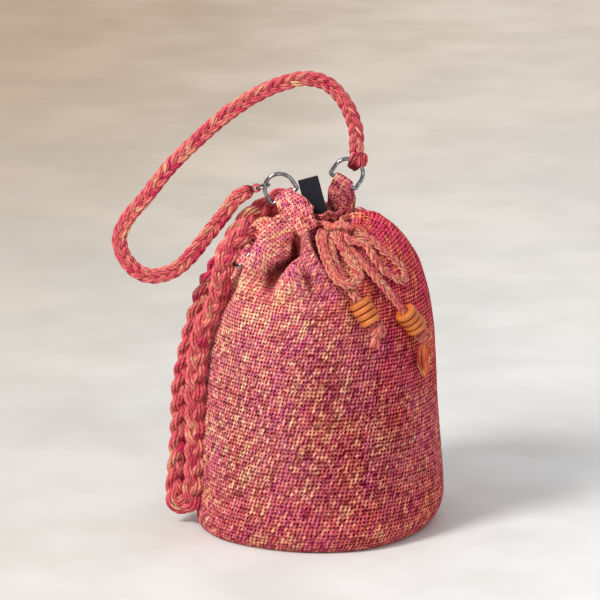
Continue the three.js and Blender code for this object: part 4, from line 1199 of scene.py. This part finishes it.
def plain_disc(name, low, high, stand, round_edge):
    sides = 120
    edge = on(np.arange(sides) * 360.0 / sides, 0.0, stand)
    half = [(CENTRE, low), (0.5, low), (1 - 2 * round_edge, low), (1 - 0.4 * round_edge, low + 0.3),
            (1, low + 0.9)]
    profile = half + [(r, low + high - z) for r, z in half[::-1]]
    points = np.array([np.column_stack([edge[:, :2] * r, np.full(sides, z)]) for r, z in profile])
    R, A = np.meshgrid(np.arange(len(profile)) * 12.0, np.arange(sides + 1) * 5.0, indexing="ij")
    return grid_object(name, points, A, R, flip=True)


base_panel = worked_disc("base_panel_worked", low=0.0, high=4.0, stand=-3.3)
dress(base_panel, crochet, "crochet", "bag", "base_panel")
base_board = plain_disc("base_board_cut", low=4.3, high=6.8, stand=-6.0, round_edge=0.012)
dress(base_board, board, "board", "bag", "base_board")

LINING_STATIONS = (0.36, 3.55)
LINING_FLOOR, LINING_OUT, LINING_IN, LINING_CLOTH, LINING_SIDES = 7.1, -3.6, -4.8, 1.2, 240


def lining_points(stand, low):
    """The sewn lining's floor and wall, with the wall's soft creases"""
    degrees = np.arange(LINING_SIDES) * 360.0 / LINING_SIDES
    T, D = np.meshgrid(np.linspace(*LINING_STATIONS, 70), degrees, indexing="ij")
    a = np.radians(D)
    crease = 0.25 * np.sin(17 * a + 2 * T) * np.sin(2.3 * T) + 0.2 * np.sin(29 * a - 3 * T)
    wall = on(D, T, stand + crease * 0.8 - 0.3)
    edge = on(degrees, 0.2, stand - 2)[:, :2]
    foot = [np.column_stack([edge * r, np.full(LINING_SIDES, low)])
            for r in (CENTRE, 0.3, 0.6, 0.85, 0.97, 1.0)]
    return np.concatenate([foot, wall])


under, over = lining_points(LINING_OUT, LINING_FLOOR), lining_points(LINING_IN, LINING_FLOOR + LINING_CLOTH)
hem = [under[-1] * (1 - k) + over[-1] * k + np.array([0, 0, 0.8 * math.sin(math.pi * k)])
       for k in (0.25, 0.5, 0.75)]
points = np.concatenate([under, hem, over[::-1]])
R, A = np.meshgrid(np.arange(len(points)) * 3.2, np.arange(LINING_SIDES + 1) * 2.8, indexing="ij")
lining = grid_object("lining_sewn", points, A, R, flip=True)
dress(lining, lining_cloth, "lining_cloth", "bag", "lining")

# Floor, soft studio light and world
WALL_RADIUS, WALL_RISE = 6000, 1500


def make_floor():
    """A wide floor that rises far out, behind every camera, into a wall all round"""
    sides = 96
    profile = [(1.0, 0.0), (900.0, 0.0), (3000.0, 0.0), (WALL_RADIUS, 0.0)]
    profile += [(WALL_RADIUS + WALL_RISE * math.sin(a), WALL_RISE - WALL_RISE * math.cos(a))
                for a in np.linspace(0, math.pi / 2, 12)[1:]]
    a = once_round(sides)
    points = np.array([np.column_stack([r * np.cos(a), r * np.sin(a), np.full(sides, z)])
                       for r, z in profile])
    R, A = np.meshgrid(np.arange(len(profile)), np.arange(sides + 1), indexing="ij")
    floor = grid_object("floor", points, A, R)
    floor.data.materials.append(floor_finish)


def lamp(name, place, size, watts, colour, aim=(0, 0, 0.16)):
    data = bpy.data.lights.new(name, "AREA")
    data.shape, data.size, data.energy, data.color = "DISK", size, watts, colour
    made = put(name, data)
    made.location = place
    made.rotation_euler = (Vector(aim) - Vector(place)).to_track_quat("-Z", "Y").to_euler()


def make_world():
    """A pale room that is lighter overhead, so that the metal has something to mirror"""
    world = bpy.data.worlds.new("world")
    bpy.context.scene.world = world
    world.use_nodes = True
    tree = world.node_tree
    background = tree.nodes["Background"]
    way = tree.nodes.new("ShaderNodeTexCoord")
    split = tree.nodes.new("ShaderNodeSeparateXYZ")
    level = tree.nodes.new("ShaderNodeMapRange")
    level.interpolation_type = "SMOOTHSTEP"
    for key, value in {1: -0.15, 2: 0.75, 3: 0.34, 4: 0.74}.items():
        level.inputs[key].default_value = value
    for out, into in ((way.outputs["Generated"], split.inputs[0]), (split.outputs[2], level.inputs[0]),
                      (level.outputs[0], background.inputs[1])):
        tree.links.new(out, into)
    background.inputs[0].default_value = (0.93, 0.93, 0.93, 1)


make_floor()
lamp("key", place=(-1.8, -1.6, 2.4), size=0.9, watts=86, colour=(1.0, 0.98, 0.95))
lamp("fill", place=(2.2, -2.2, 1.2), size=2.4, watts=11, colour=(0.95, 0.97, 1.0))
make_world()
bpy.context.scene.view_settings.view_transform = "Standard"
